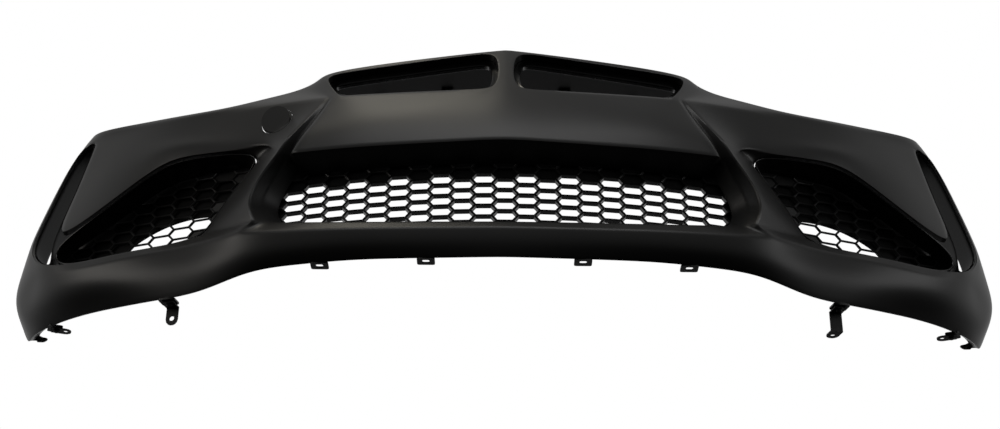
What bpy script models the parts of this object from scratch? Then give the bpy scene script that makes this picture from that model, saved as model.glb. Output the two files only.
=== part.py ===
"""Front bumper cover of a compact coupe: one moulded skin with twin upper openings, a wide centre
intake and two side intakes with air-curtain slots, and the grilles, ducts, clips and brackets it carries.

Frame: +X to the left side of the car, which is the right as seen from in front of it, +Y rearward,
+Z up. The origin is on the centre plane, on the top face of the centre mounting pad of the top shelf.
Lengths are in metres. The outlines below are drawn from the nose point, and the pad sets the origin."""

import math

import bmesh
import bpy
import numpy as np
from mathutils import Matrix, Vector
from mathutils.bvhtree import BVHTree

# ---------------------------------------------------------------- driving sizes
HALF_WIDTH = 0.914  # centre plane to the widest point of the side wall
CENTRE_HALF = 0.442  # centre plane to the ridge beside the centre intake
BODY_DEPTH = 0.570  # nose point to the rear end of the top seam
TOP_HEIGHT = 0.364  # nose datum to the brow over the upper openings
BOTTOM_DROP = 0.085  # nose datum down to the lower edge at the centre
SKIN = 0.003  # wall of the moulded skin
GAP = 0.0006  # clearance between pieces that rest on each other
LAND_GAP = 0.0014  # clearance of a grille to the moulded land it sits on

SHELF_DEPTH = 0.130  # top shelf, brow to rear edge
SHELF_RISE = 0.004  # height of the shelf's rear edge over the brow
SEAM_FLANGE = 0.024  # return under the headlamp and along the wing seam
BOTTOM_RETURN = 0.022  # return along the lower edge
BOTTOM_RETURN_TILT = math.radians(38)  # how steeply that return climbs
ARCH_RETURN = 0.024  # return round the wheel arch
ARCH_CENTRE = (0.800, 0.065)  # wheel arch centre, y and z
ARCH_RADIUS = 0.370

GRILLE_SET = 0.072  # nose point to the front face of the centre grille
GRILLE_BOW = 0.40  # the centre grille's plan curve is y = bow * x^2
GRILLE_PLAY = 0.002  # centre grille inside the outer edge of its land
LAND = 0.013  # flat land at the rear of the centre tunnel that carries the grille
TUNNEL_DRAFT = (0.026, 0.010)  # how far the tunnel narrows at its ends, and at its roof and floor
SIDE_WALL = 0.016  # side intake and slot wall behind the lip
UPPER_WALL = 0.020  # upper opening wall behind the lip

GRILLE_DEPTH = 0.014
CELL_PITCH = (0.0367, 0.0205)  # centre grille, column to column and row to row
CELL_WALL = 0.0032
CELL_ROW = 0.0722  # a row of the middle column, above the nose point
CELL_BORDER = 0.0035  # solid edge round the cells
POCKET_BAND = 0.029  # cells this close to the top edge of the centre grille stay closed
SIDE_GRILLE_DEPTH = 0.005
SIDE_CELL_PITCH = (0.0400, 0.0205)
SIDE_CELL_WALL = 0.0030
GRILLE_LAP = 0.004  # side grille behind the rear edge of its trim
PANEL_DEPTH = 0.002  # blanking panel behind a side grille
PANEL_SET = 0.009  # front face of the panel behind the rear edge of the trim
PANEL_ARC = (0.552, 0.076, 0.235)  # its lower edge: x and z of the arc's top, and its radius
PANEL_STEP = 0.008  # spacing of its outline's points
SIDE_GRILLE_FRONT = (0.170, 0.36)  # its plane: y at x = 0.43, and the slope dy/dx

TRIM_WALL = 0.0025
TRIM_CLEARANCE = 0.0016  # trim and duct to the wall of the skin they sit in
TRIM_SETBACK = 0.007  # front edge of the trim behind the lip of the side intake
TRIM_STRAIGHT = 0.004  # how far the trim runs straight past the wall
TRIM_STEP = 0.009  # how far the trim steps in at the grille
DUCT_LENGTH = 0.075
SEAT_WIDTH = 0.012  # seat ring of an upper opening, seen width
SEAT_DEPTH = 0.012

CAP_RADIUS = 0.0285  # tow eye cap
CAP_GAP = 0.0012
CAP_PLACE = (-0.406, 0.220)  # x and z of its centre
CAP_REACH = 0.060  # how far the cap is cut through on either side of its middle
CAP_SWING = math.radians(-14)  # plan angle of its axis from -Y
CAP_BOSS = (0.0265, 0.012)  # boss behind the cap, radius and length

TAB = (0.030, 0.024, 0.0028)  # tab on the lower edge, width, length and thickness
TAB_SLOT = (0.012, 0.012)
SLOT_BACK = 0.52 * TAB[1]  # slot centre behind the lower edge
SLOT_REACH = 0.030  # height of the cut that makes a slot
TAB_PLACES = (0.131, 0.310)  # bare tabs, from the centre plane
SCREW_BACK = 0.65 * TAB[1]  # screw axis behind the lower edge
BRACKET_PLACES = (0.577, 0.828)  # tabs that carry the inner and the arch bracket
PLATE = 0.0022  # steel brackets and clips
BRACKET_WIDTH = 0.022
BRACKET_HOLE = 0.0045
BRACKET_START = 0.007  # front edge of a bracket behind the lower edge
ROUND_END = (0, 30, 55, 75)  # degrees round the rounded end of a bracket
FOOT_HOLE = 0.017  # hole in the foot of the left lower bracket, from the bend
STRIP_HOLE = 0.022  # hole in the strip of the right lower bracket, below the tab
DRILL_REACH = 0.006
ARCH_HOLE = 0.010  # hole in the arch bracket, from its inner end
LOWER_BRACKET = (0.033, 0.034, 0.028)  # bend behind the lower edge, drop, and length of the foot
ARCH_BRACKET_LENGTH = 0.042
SCREW = (0.0025, 0.0055, 0.0030)  # shank radius, head radius and head height
SCREW_REACH = 0.012  # shank above the head
SCREW_TIP = 0.001  # chamfer of the shank's tip
SCREW_HOLE = 0.0031
PAD = (0.110, 0.030, 0.004)  # centre mounting pad
CLIP = (0.022, 0.018)  # spring clip on the top shelf, width and reach
CLIP_PLACES = (0.110, 0.235)
GRILLE_CLIP_PLACES = (0.120, 0.280)

# ---------------------------------------------------------------- the drawing
# The outlines are drawn at these sizes, and stretched zone by zone to the driving sizes above.
DRAWN_X = (0.0, 0.442, 0.914)
REAL_X = (0.0, CENTRE_HALF, HALF_WIDTH)
DRAWN_Y = (-0.1, 0.100, 0.570)
REAL_Y = (-0.1, 0.100, BODY_DEPTH)
DRAWN_Z = (-0.300, -0.085, 0.364, 0.7)
REAL_Z = (-0.215 - BOTTOM_DROP, -BOTTOM_DROP, TOP_HEIGHT, TOP_HEIGHT + 0.336)

# Columns of the cage, from the centre plane outwards to the wheel arch.
CENTRE, DIVIDER, UPPER_A, UPPER_B, UPPER_END, NOSE, FLANK, RIDGE, INTAKE = range(9)
STRIP, BEND, BLADE_A, BLADE_B, SLOT_IN, SLOT_OUT, RIM, WING_A, WING_B, ARCH, ARCH_IN = range(9, 20)
# Rows of the cage, from the rear of the top shelf down to the return of the lower edge.
(SHELF_REAR, BROW, UPPER_TOP, UPPER_LOW, CROWN, CHIN, LIP, SIDE_A, SIDE_B,
 SILL, SILL_RIDGE, APRON, BOTTOM, BOTTOM_IN) = range(14)

# Each drawn line crosses the half car from the centre to the arch: column: (x, y, z).
LINES = {
    BROW: {
        CENTRE: (0, 0.105, 0.364), DIVIDER: (0.012, 0.105, 0.363), UPPER_END: (0.322, 0.150, 0.342),
        FLANK: (0.352, 0.162, 0.324), RIDGE: (0.385, 0.168, 0.311), INTAKE: (0.440, 0.172, 0.298),
        STRIP: (0.505, 0.170, 0.276), BEND: (0.600, 0.205, 0.279), SLOT_IN: (0.765, 0.305, 0.304),
        SLOT_OUT: (0.784, 0.326, 0.309), RIM: (0.796, 0.350, 0.314), ARCH: (0.850, None, 0.355),
    },
    UPPER_TOP: {
        CENTRE: (0, 0.100, 0.357), DIVIDER: (0.012, 0.100, 0.356), UPPER_A: (0.050, 0.103, 0.354),
        UPPER_B: (0.300, 0.140, 0.3345), UPPER_END: (0.334, 0.147, 0.330),
        FLANK: (0.362, 0.156, 0.309), RIDGE: (0.391, 0.159, 0.298), INTAKE: (0.440, 0.162, 0.286),
        STRIP: (0.505, 0.163, 0.268), BEND: (0.600, 0.196, 0.270), SLOT_IN: (0.770, 0.306, 0.295),
        SLOT_OUT: (0.790, 0.326, 0.299), RIM: (0.804, 0.350, 0.303), ARCH: (0.862, None, 0.322),
    },
    UPPER_LOW: {
        CENTRE: (0, 0.047, 0.250), DIVIDER: (0.012, 0.046, 0.246), UPPER_A: (0.045, 0.048, 0.2465),
        UPPER_B: (0.265, 0.081, 0.2535), UPPER_END: (0.296, 0.089, 0.254),
        NOSE: (0.305, 0.092, 0.254), FLANK: (0.311, 0.095, 0.254), RIDGE: (0.319, 0.098, 0.255),
        INTAKE: (0.388, 0.130, 0.264), STRIP: (0.495, 0.161, 0.262), BEND: (0.600, 0.192, 0.258),
        SLOT_IN: (0.772, 0.306, 0.284), SLOT_OUT: (0.800, 0.326, 0.281), RIM: (0.812, 0.350, 0.288),
        ARCH: (0.872, None, 0.285),
    },
    CROWN: {
        CENTRE: (0, 0.021, 0.195), UPPER_END: (0.262, 0.052, 0.197), NOSE: (0.332, 0.070, 0.190),
        FLANK: (0.342, 0.090, 0.198), RIDGE: (0.353, 0.084, 0.196), INTAKE: (0.420, 0.128, 0.206),
        STRIP: (0.520, 0.150, 0.204), BEND: (0.605, 0.180, 0.213), BLADE_B: (0.725, 0.258, 0.238),
        SLOT_IN: (0.780, 0.299, 0.242), SLOT_OUT: (0.819, 0.326, 0.243), RIM: (0.832, 0.349, 0.246),
        ARCH: (0.882, None, 0.240),
    },
    CHIN: {
        CENTRE: (0, 0.007, 0.152), UPPER_END: (0.278, 0.040, 0.152), NOSE: (0.353, 0.058, 0.152),
        FLANK: (0.362, 0.086, 0.165), RIDGE: (0.382, 0.076, 0.158), INTAKE: (0.424, 0.126, 0.184),
        STRIP: (0.530, 0.144, 0.188), BEND: (0.606, 0.168, 0.193), BLADE_A: (0.660, 0.199, 0.181),
        BLADE_B: (0.736, 0.244, 0.168), SLOT_IN: (0.797, 0.286, 0.145), SLOT_OUT: (0.839, 0.325, 0.178),
        RIM: (0.852, 0.346, 0.180), ARCH: (0.891, None, 0.190),
    },
    LIP: {
        CENTRE: (0, 0.0, 0.118), UPPER_END: (0.288, 0.038, 0.118), NOSE: (0.368, 0.056, 0.118),
        FLANK: (0.376, 0.094, 0.134), RIDGE: (0.398, 0.074, 0.124), INTAKE: (0.416, 0.120, 0.167),
        STRIP: (0.545, 0.150, 0.168), BEND: (0.601, 0.169, 0.167), BLADE_A: (0.652, 0.190, 0.141),
        BLADE_B: (0.728, 0.220, 0.090), SLOT_IN: (0.820, 0.266, 0.042), SLOT_OUT: (0.857, 0.321, 0.112),
        RIM: (0.870, 0.342, 0.116), ARCH: (0.898, None, 0.140),
    },
    SIDE_A: {
        CENTRE: (0, 0.02, 0.070), NOSE: (0.380, 0.080, 0.080), FLANK: (0.408, 0.106, 0.086),
        RIDGE: (0.427, 0.073, 0.076), INTAKE: (0.466, 0.148, 0.111), SLOT_IN: (0.830, 0.290, 0.040),
        SLOT_OUT: (0.869, 0.316, 0.060), RIM: (0.882, 0.337, 0.062), ARCH: (0.905, None, 0.090),
    },
    SIDE_B: {
        CENTRE: (0, 0.03, 0.010), NOSE: (0.390, 0.080, 0.030), FLANK: (0.426, 0.109, 0.040),
        RIDGE: (0.442, 0.075, 0.030), INTAKE: (0.506, 0.162, 0.056), SLOT_IN: (0.822, 0.280, 0.010),
        SLOT_OUT: (0.861, 0.310, 0.040), RIM: (0.873, 0.327, 0.036), WING_A: (0.896, 0.362, 0.034),
        ARCH: (0.909, None, 0.040),
    },
    SILL: {
        CENTRE: (0, 0.036, -0.021), UPPER_END: (0.260, 0.046, -0.019), NOSE: (0.350, 0.062, -0.012),
        FLANK: (0.402, 0.094, 0.003), RIDGE: (0.428, 0.073, -0.006), INTAKE: (0.522, 0.158, 0.012),
        STRIP: (0.575, 0.160, -0.006), BEND: (0.635, 0.170, -0.013), BLADE_B: (0.747, 0.220, -0.014),
        SLOT_IN: (0.808, 0.256, -0.004), SLOT_OUT: (0.840, 0.285, 0.012), RIM: (0.859, 0.311, 0.008),
        WING_A: (0.904, 0.372, 0.006), WING_B: (0.913, 0.405, 0.008), ARCH: (0.912, None, 0.014),
    },
    SILL_RIDGE: {
        CENTRE: (0, 0.028, -0.035), UPPER_END: (0.260, 0.037, -0.036), NOSE: (0.355, 0.052, -0.033),
        FLANK: (0.415, 0.064, -0.030), RIDGE: (0.455, 0.082, -0.025), INTAKE: (0.518, 0.124, -0.020),
        STRIP: (0.575, 0.144, -0.025), BEND: (0.635, 0.162, -0.029), BLADE_B: (0.745, 0.212, -0.031),
        SLOT_IN: (0.798, 0.250, -0.022), SLOT_OUT: (0.829, 0.279, -0.014), RIM: (0.846, 0.300, -0.010),
        WING_A: (0.904, 0.378, -0.020), WING_B: (0.912, 0.410, -0.021), ARCH: (0.911, None, -0.018),
    },
    APRON: {
        CENTRE: (0, 0.030, -0.062), UPPER_END: (0.260, 0.040, -0.064), NOSE: (0.350, 0.055, -0.066),
        FLANK: (0.405, 0.067, -0.068), RIDGE: (0.450, 0.083, -0.070), INTAKE: (0.512, 0.112, -0.074),
        BEND: (0.630, 0.158, -0.074), BLADE_B: (0.742, 0.215, -0.071), SLOT_IN: (0.797, 0.256, -0.067),
        SLOT_OUT: (0.837, 0.300, -0.060), RIM: (0.868, 0.343, -0.054), WING_A: (0.889, 0.382, -0.050),
        WING_B: (0.901, 0.416, -0.047), ARCH: (0.904, None, -0.044),
    },
    BOTTOM: {
        CENTRE: (0, 0.042, -0.085), UPPER_END: (0.260, 0.060, -0.084), NOSE: (0.345, 0.077, -0.085),
        FLANK: (0.400, 0.088, -0.087), RIDGE: (0.445, 0.100, -0.094), INTAKE: (0.500, 0.122, -0.110),
        STRIP: (0.545, 0.140, -0.116), BEND: (0.605, 0.165, -0.115), BLADE_B: (0.715, 0.245, -0.099),
        SLOT_IN: (0.766, 0.288, -0.092), SLOT_OUT: (0.808, 0.328, -0.087), RIM: (0.842, 0.365, -0.083),
        WING_A: (0.865, 0.398, -0.079), WING_B: (0.882, 0.430, -0.075), ARCH: (0.892, None, -0.071),
    },
}
COLUMNS = ARCH_IN + 1
N_ROWS = BOTTOM_IN + 1
# Plan angle, in degrees, by which the inward direction of the edges turns from +Y to -X.
TURN = {CENTRE: 0, RIDGE: 0, STRIP: 8, BEND: 18, BLADE_B: 32, SLOT_IN: 45, SLOT_OUT: 60, RIM: 74,
        WING_A: 84, ARCH: 88, ARCH_IN: 88}
SHELF_SHARE = {CENTRE: 1, UPPER_END: 1, NOSE: 0.92, FLANK: 0.75, RIDGE: 0.55, INTAKE: 0.25, STRIP: 0,
               ARCH_IN: 0}


def smooth_through(knots, count):
    """Values at 0..count-1 of a monotone cubic through {index: value}; values may be vectors."""
    at = np.array(sorted(knots), float)
    value = np.array([np.atleast_1d(knots[int(k)]) for k in at], float)
    step = np.diff(at)[:, None]
    slope = np.diff(value, axis=0) / step
    tangent = np.zeros_like(value)
    same = slope[:-1] * slope[1:] > 0
    mean = 2 * slope[:-1] * slope[1:] / np.where(same, slope[:-1] + slope[1:], 1)
    tangent[1:-1] = np.where(same, mean, 0)
    tangent[0], tangent[-1] = slope[0], slope[-1]
    u = np.arange(count, dtype=float)
    k = np.clip(np.searchsorted(at, u, side="right") - 1, 0, len(at) - 2)
    t = ((u - at[k]) / (at[k + 1] - at[k]))[:, None]
    h = step[k]
    return ((2 * t**3 - 3 * t**2 + 1) * value[k] + (t**3 - 2 * t**2 + t) * h * tangent[k]
            + (3 * t**2 - 2 * t**3) * value[k + 1] + (t**3 - t**2) * h * tangent[k + 1])


def arch_y(z):
    """Rearward place of the wheel arch edge at height z: the front of a circle."""
    return ARCH_CENTRE[0] - math.sqrt(max(ARCH_RADIUS**2 - (z - ARCH_CENTRE[1]) ** 2, 0.0))


def cage():
    """The cage of the +X half, rows x columns x 3, stretched to the driving sizes."""
    grid = np.zeros((N_ROWS, COLUMNS, 3))
    for row, knots in LINES.items():
        drawn = {c: (x, arch_y(z) if y is None else y, z) for c, (x, y, z) in knots.items()}
        grid[row, :ARCH + 1] = smooth_through(drawn, ARCH + 1)
    grid[:, ARCH_IN] = grid[:, ARCH]
    for axis, (drawn, real) in enumerate(((DRAWN_X, REAL_X), (DRAWN_Y, REAL_Y), (DRAWN_Z, REAL_Z))):
        grid[..., axis] = np.interp(grid[..., axis], drawn, real)
    turn = np.radians(smooth_through(TURN, COLUMNS))
    inward = np.hstack([-np.sin(turn), np.cos(turn), np.zeros_like(turn)])
    grid[:, ARCH_IN] += ARCH_RETURN * inward[ARCH_IN]
    share = smooth_through(SHELF_SHARE, COLUMNS)
    depth = SEAM_FLANGE + share * (SHELF_DEPTH - SEAM_FLANGE)
    grid[SHELF_REAR] = grid[BROW] + depth * inward + share * np.array([0, 0, SHELF_RISE])
    climb = np.array([0, 0, math.sin(BOTTOM_RETURN_TILT)])
    grid[BOTTOM_IN] = grid[BOTTOM] + BOTTOM_RETURN * (inward * math.cos(BOTTOM_RETURN_TILT) + climb)
    return grid


GRID = cage()
PAD_TOP = GRID[BROW, CENTRE, 2] + SHELF_RISE + GAP + PAD[2]
PAD_Y = GRID[BROW, CENTRE, 1] + SHELF_DEPTH - 0.6 * PAD[1]
ORIGIN = np.array([0.0, PAD_Y, PAD_TOP])

# Edges of the openings, as (row, column) round each one.
UPPER_HOLE = ([(UPPER_TOP, c) for c in range(DIVIDER, UPPER_END + 1)]
              + [(UPPER_LOW, c) for c in range(UPPER_END, DIVIDER - 1, -1)])
CENTRE_EDGE = ([(LIP, c) for c in range(CENTRE, FLANK + 1)] + [(SIDE_A, FLANK), (SIDE_B, FLANK)]
               + [(SILL, c) for c in range(FLANK, CENTRE - 1, -1)])
SIDE_HOLE = ([(LIP, c) for c in range(INTAKE, SLOT_IN + 1)]
             + [(r, SLOT_IN) for r in (CHIN, CROWN, UPPER_LOW)]
             + [(r, SLOT_OUT) for r in range(UPPER_LOW, SILL)]
             + [(SILL, c) for c in range(SLOT_OUT, INTAKE - 1, -1)]
             + [(SIDE_B, INTAKE), (SIDE_A, INTAKE)])
TRIM_LOOP = ([(LIP, c) for c in range(INTAKE, SLOT_IN + 1)]
             + [(SILL, c) for c in range(SLOT_IN, INTAKE - 1, -1)]
             + [(SIDE_B, INTAKE), (SIDE_A, INTAKE)])
SLOT_LOOP = ([(r, SLOT_IN) for r in (LIP, CHIN, CROWN, UPPER_LOW)]
             + [(r, SLOT_OUT) for r in range(UPPER_LOW, SILL)]
             + [(SILL, SLOT_OUT), (SILL, SLOT_IN)])


def edge_points(edge):
    """The cage points along an edge given as (row, column) pairs."""
    return np.array([GRID[r, c] for r, c in edge])


def offset(points, amount, closed=True):
    """Points moved sideways in the XZ plane, by amount to the inside of a clockwise outline."""
    flat = points[:, [0, 2]]
    before, after = np.roll(flat, 1, axis=0), np.roll(flat, -1, axis=0)
    if not closed:
        before[0], after[-1] = 2 * flat[0] - flat[1], 2 * flat[-1] - flat[-2]
    unit_in = (flat - before) / np.linalg.norm(flat - before, axis=1)[:, None]
    unit_out = (after - flat) / np.linalg.norm(after - flat, axis=1)[:, None]
    normal = np.stack([unit_in[:, 1] + unit_out[:, 1], -unit_in[:, 0] - unit_out[:, 0]], axis=1)
    share = (normal**2).sum(axis=1) / 2
    moved = flat + amount * normal / np.maximum(share, 0.7)[:, None]
    return np.stack([moved[:, 0], points[:, 1], moved[:, 1]], axis=1)


def grille_y(x):
    """Front face of the centre grille at x, from the nose point."""
    return GRILLE_SET + GRILLE_BOW * x**2


def side_grille_y(x):
    """Front face of the side grille at x, from the nose point."""
    start, slope = SIDE_GRILLE_FRONT
    return start + slope * (x - 0.43)


# ---------------------------------------------------------------- scene helpers
def clear_scene():
    for item in list(bpy.data.objects):
        bpy.data.objects.remove(item, do_unlink=True)


def new_collection(name):
    group = bpy.data.collections.new(name)
    bpy.context.scene.collection.children.link(group)
    return group


def material(name, colour, roughness, metallic=0.0):
    made = bpy.data.materials.new(name)
    made.use_nodes = True
    shader = made.node_tree.nodes["Principled BSDF"]
    shader.inputs["Base Color"].default_value = (*colour, 1)
    shader.inputs["Roughness"].default_value = roughness
    shader.inputs["Metallic"].default_value = metallic
    return made


clear_scene()
PARTS = new_collection("bumper_cover")
CUTTERS = new_collection("cutters")
SKIN_BLACK = material("unpainted_skin", (0.035, 0.035, 0.034), 0.42)
GRILLE_BLACK = material("grille_black", (0.012, 0.012, 0.012), 0.30)
DUCT_BLACK = material("duct_black", (0.018, 0.018, 0.018), 0.60)
STEEL = material("plated_steel", (0.30, 0.30, 0.29), 0.35, 1.0)


def add_object(name, mesh, finish, group=None):
    made = bpy.data.objects.new(name, mesh)
    (group or PARTS).objects.link(made)
    mesh.materials.clear()
    mesh.materials.append(finish)
    return made


def mesh_from(name, shape):
    """A mesh from a bmesh, with its faces turned out."""
    mesh = bpy.data.meshes.new(name)
    shape.to_mesh(mesh)
    shape.free()
    return mesh


def evaluated_mesh(item, name):
    """The mesh of an object with its modifiers or its curve fill applied, and its seams welded."""
    bpy.context.view_layer.update()
    ready = item.evaluated_get(bpy.context.evaluated_depsgraph_get())
    mesh = bpy.data.meshes.new_from_object(ready)
    mesh.name = name
    shape = bmesh.new()
    shape.from_mesh(mesh)
    bmesh.ops.remove_doubles(shape, verts=shape.verts, dist=1e-6)
    shape.to_mesh(mesh)
    shape.free()
    return mesh


def subdivide(item, levels=1):
    smooth = item.modifiers.new("Smooth form", "SUBSURF")
    smooth.levels = levels
    smooth.render_levels = levels


def thicken(item, wall, even=False):
    """A wall behind the faces, or in front of them if it is negative, kept even round a bend if asked."""
    shell = item.modifiers.new("Wall", "SOLIDIFY")
    shell.thickness = abs(wall)
    shell.offset = -1 if wall > 0 else 1
    shell.use_even_offset = even


def boolean(item, cutter, operation):
    cut = item.modifiers.new(operation.title(), "BOOLEAN")
    cut.object = cutter
    cut.operation = operation


def guide(item):
    item.hide_render = True
    item.display_type = "WIRE"
    return item


def mirrored(source, name):
    """A copy of an object on the other side of the centre plane."""
    mesh = source.data.copy()
    shape = bmesh.new()
    shape.from_mesh(mesh)
    bmesh.ops.transform(shape, matrix=Matrix.Scale(-1, 4, (1, 0, 0)), verts=shape.verts)
    bmesh.ops.reverse_faces(shape, faces=shape.faces)
    shape.to_mesh(mesh)
    shape.free()
    copy = bpy.data.objects.new(name, mesh)
    PARTS.objects.link(copy)
    copy.location = source.location * Vector((-1, 1, 1))
    copy.rotation_euler = (source.rotation_euler.x, -source.rotation_euler.y, -source.rotation_euler.z)
    for modifier in source.modifiers:
        twin = copy.modifiers.new(modifier.name, modifier.type)
        for key in ("levels", "render_levels", "thickness", "offset", "width", "segments"):
            if hasattr(modifier, key):
                setattr(twin, key, getattr(modifier, key))
    return copy


def at(point):
    """A drawn point, from the nose point, as a location from the origin."""
    return Vector(np.asarray(point, float) - ORIGIN)


def box(name, size, centre, finish, group=None):
    shape = bmesh.new()
    bmesh.ops.create_cube(shape, size=1)
    bmesh.ops.scale(shape, vec=size, verts=shape.verts)
    bmesh.ops.translate(shape, vec=centre, verts=shape.verts)
    return add_object(name, mesh_from(name, shape), finish, group)


def cylinder_shape(shape, radius, start, end, segments=24):
    """A cylinder along local +Z added to a bmesh."""
    place = Matrix.Translation((0, 0, (start + end) / 2))
    bmesh.ops.create_cone(shape, cap_ends=True, segments=segments, radius1=radius, radius2=radius,
                          depth=end - start, matrix=place)


# ---------------------------------------------------------------- the skin
# How sharp the cage edges are: round an opening, at the rear of its wall, and along a row or down a
# column with the places between which they are sharp.
LIP_CREASE = 0.85
WALL_CREASE = 0.9
ROW_CREASES = {BROW: (0.5, CENTRE, ARCH), LIP: (0.85, CENTRE, SLOT_IN), SILL: (0.85, CENTRE, SLOT_OUT),
               UPPER_LOW: (0.8, UPPER_END, STRIP), SILL_RIDGE: (0.9, CENTRE, SLOT_OUT),
               BOTTOM: (0.9, CENTRE, ARCH)}
COLUMN_CREASES = {NOSE: (0.85, UPPER_LOW, LIP), FLANK: (0.6, UPPER_LOW, SILL),
                  RIDGE: (0.95, UPPER_LOW, SILL_RIDGE), INTAKE: (0.6, LIP, SILL), SLOT_IN: (0.5, UPPER_LOW, LIP),
                  SLOT_OUT: (0.8, UPPER_LOW, SILL), RIM: (0.5, UPPER_LOW, SILL), ARCH: (0.9, BROW, BOTTOM)}


def crease_between(a, b):
    """How sharp the cage edge between two (row, column) places is, from 0 to 1."""
    (ra, ca), (rb, cb) = sorted((a, b))
    line, along, creases = (ra, ca, ROW_CREASES) if ra == rb else (ca, ra, COLUMN_CREASES)
    weight, first, last = creases.get(line, (0.0, 0, 0))
    return weight if first <= along < last else 0.0


def is_open(r, c):
    """Whether the cage face below row r and outside column c is left out."""
    if r == UPPER_TOP and DIVIDER <= c < UPPER_END:
        return True
    if LIP <= r < SILL and (c < FLANK or INTAKE <= c < SLOT_OUT):
        return True
    return UPPER_LOW <= r < LIP and c == SLOT_IN


def tunnel_rear(points):
    """The rear edge of the centre tunnel: narrower by the draft, on the grille's curve."""
    ends, roof = TUNNEL_DRAFT
    rear = offset(points, roof, closed=False)
    rear[:, 0] *= 1 - (ends - roof) / rear[:, 0].max()
    rear[[0, -1], 0] = 0.0
    rear[:, 1] = grille_y(rear[:, 0])
    return rear


def wall_rear(points, depth):
    """The rear edge of a wall that runs straight back from an opening's edge."""
    return points + np.array([0, depth, 0])


def skin_cage():
    """The +X half of the skin as an open quad cage: the grid without its openings, with their walls."""
    shape = bmesh.new()
    vert = {}
    for r in range(N_ROWS):
        for c in range(COLUMNS):
            vert[r, c] = shape.verts.new(at(GRID[r, c]))
    creases = {}
    for r in range(N_ROWS - 1):
        for c in range(COLUMNS - 1):
            if not is_open(r, c):
                shape.faces.new((vert[r, c], vert[r + 1, c], vert[r + 1, c + 1], vert[r, c + 1]))
    for (r, c) in vert:
        for other in ((r, c + 1), (r + 1, c)):
            if other in vert:
                creases[frozenset((vert[r, c], vert[other]))] = crease_between((r, c), other)

    def wall(edge, rings, closed):
        loops = [[vert[place] for place in edge]]
        loops += [[shape.verts.new(at(p)) for p in ring] for ring in rings]
        count = len(edge)
        for i in range(count if closed else count - 1):
            pair = frozenset((loops[0][i], loops[0][(i + 1) % count]))
            creases[pair] = max(creases.get(pair, 0.0), LIP_CREASE)
        for ring, (front, rear) in enumerate(zip(loops, loops[1:])):
            for i in range(count if closed else count - 1):
                j = (i + 1) % count
                shape.faces.new((front[i], front[j], rear[j], rear[i]))
                creases[frozenset((rear[i], rear[j]))] = WALL_CREASE
        return loops

    wall(UPPER_HOLE, [wall_rear(edge_points(UPPER_HOLE), UPPER_WALL)], True)
    rear = tunnel_rear(edge_points(CENTRE_EDGE))
    land = offset(rear, -LAND, closed=False)
    land[[0, -1], 0] = 0.0
    land[:, 1] = grille_y(land[:, 0])
    wall(CENTRE_EDGE, [rear, land], False)
    wall(SIDE_HOLE, [wall_rear(edge_points(SIDE_HOLE), SIDE_WALL)], True)
    loose = [v for v in shape.verts if not v.link_faces]
    bmesh.ops.delete(shape, geom=loose, context="VERTS")
    layer = shape.edges.layers.float.new("crease_edge")
    for edge in shape.edges:
        edge[layer] = creases.get(frozenset(edge.verts), 0.0)
    bmesh.ops.recalc_face_normals(shape, faces=shape.faces)
    return shape


def lower_edge_frame(x):
    """Place and plan turn of the lower edge at distance x from the centre plane."""
    row = GRID[BOTTOM, :ARCH + 1]
    place = np.array([np.interp(x, row[:, 0], row[:, axis]) for axis in range(3)])
    turn = np.interp(x, row[:, 0], smooth_through(TURN, COLUMNS)[:ARCH + 1, 0])
    return place, math.radians(turn)


def put_at_lower_edge(item, x, side):
    place, turn = lower_edge_frame(x)
    item.location = at(place * np.array([side, 1, 1]))
    item.rotation_euler = (0, 0, turn * side)


def cap_cutter(name, radius):
    """A cylinder on the tow eye cap's axis, long enough to pass through the skin."""
    shape = bmesh.new()
    cylinder_shape(shape, radius, -CAP_REACH, CAP_REACH, 48)
    item = add_object(name, mesh_from(name, shape), SKIN_BLACK, CUTTERS)
    item.location = at(cap_centre())
    item.rotation_euler = (math.radians(90), 0, CAP_SWING)
    return guide(item)


def cap_centre():
    """A point near the skin on the tow eye cap's axis."""
    x, z = CAP_PLACE
    side = GRID[UPPER_LOW:CHIN, RIDGE:STRIP + 1].reshape(-1, 3)
    nearest = side[np.argmin(np.hypot(side[:, 0] - abs(x), side[:, 2] - z))]
    return np.array([x, nearest[1], z])


def make_skin():
    skin = add_object("bumper_skin", mesh_from("bumper_skin", skin_cage()), SKIN_BLACK)
    twin = skin.modifiers.new("Both sides", "MIRROR")
    twin.merge_threshold = 1e-5
    subdivide(skin)
    thicken(skin, SKIN)
    return skin


def finish_skin(skin):
    """Tabs on the lower edge, their slots and screw holes, and the hole for the tow eye cap."""
    width, length, thick = TAB
    for side in (-1, 1):
        for x in TAB_PLACES + BRACKET_PLACES:
            tab = box("tab", TAB, (0, length / 2 + SKIN / 3, thick / 2), SKIN_BLACK, CUTTERS)
            put_at_lower_edge(guide(tab), x, side)
            boolean(skin, tab, "UNION")
    for side in (-1, 1):
        for x in TAB_PLACES:
            slot = box("slot", (*TAB_SLOT, SLOT_REACH), (0, SLOT_BACK, 0), SKIN_BLACK, CUTTERS)
            put_at_lower_edge(guide(slot), x, side)
            boolean(skin, slot, "DIFFERENCE")
        for x in BRACKET_PLACES:
            shape = bmesh.new()
            cylinder_shape(shape, SCREW_HOLE, -0.01, 0.01)
            bmesh.ops.translate(shape, vec=(0, SCREW_BACK, 0), verts=shape.verts)
            hole = add_object("screw_hole", mesh_from("screw_hole", shape), SKIN_BLACK, CUTTERS)
            put_at_lower_edge(guide(hole), x, side)
            boolean(skin, hole, "DIFFERENCE")
    boolean(skin, cap_cutter("cap_hole", CAP_RADIUS + CAP_GAP), "DIFFERENCE")


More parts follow.
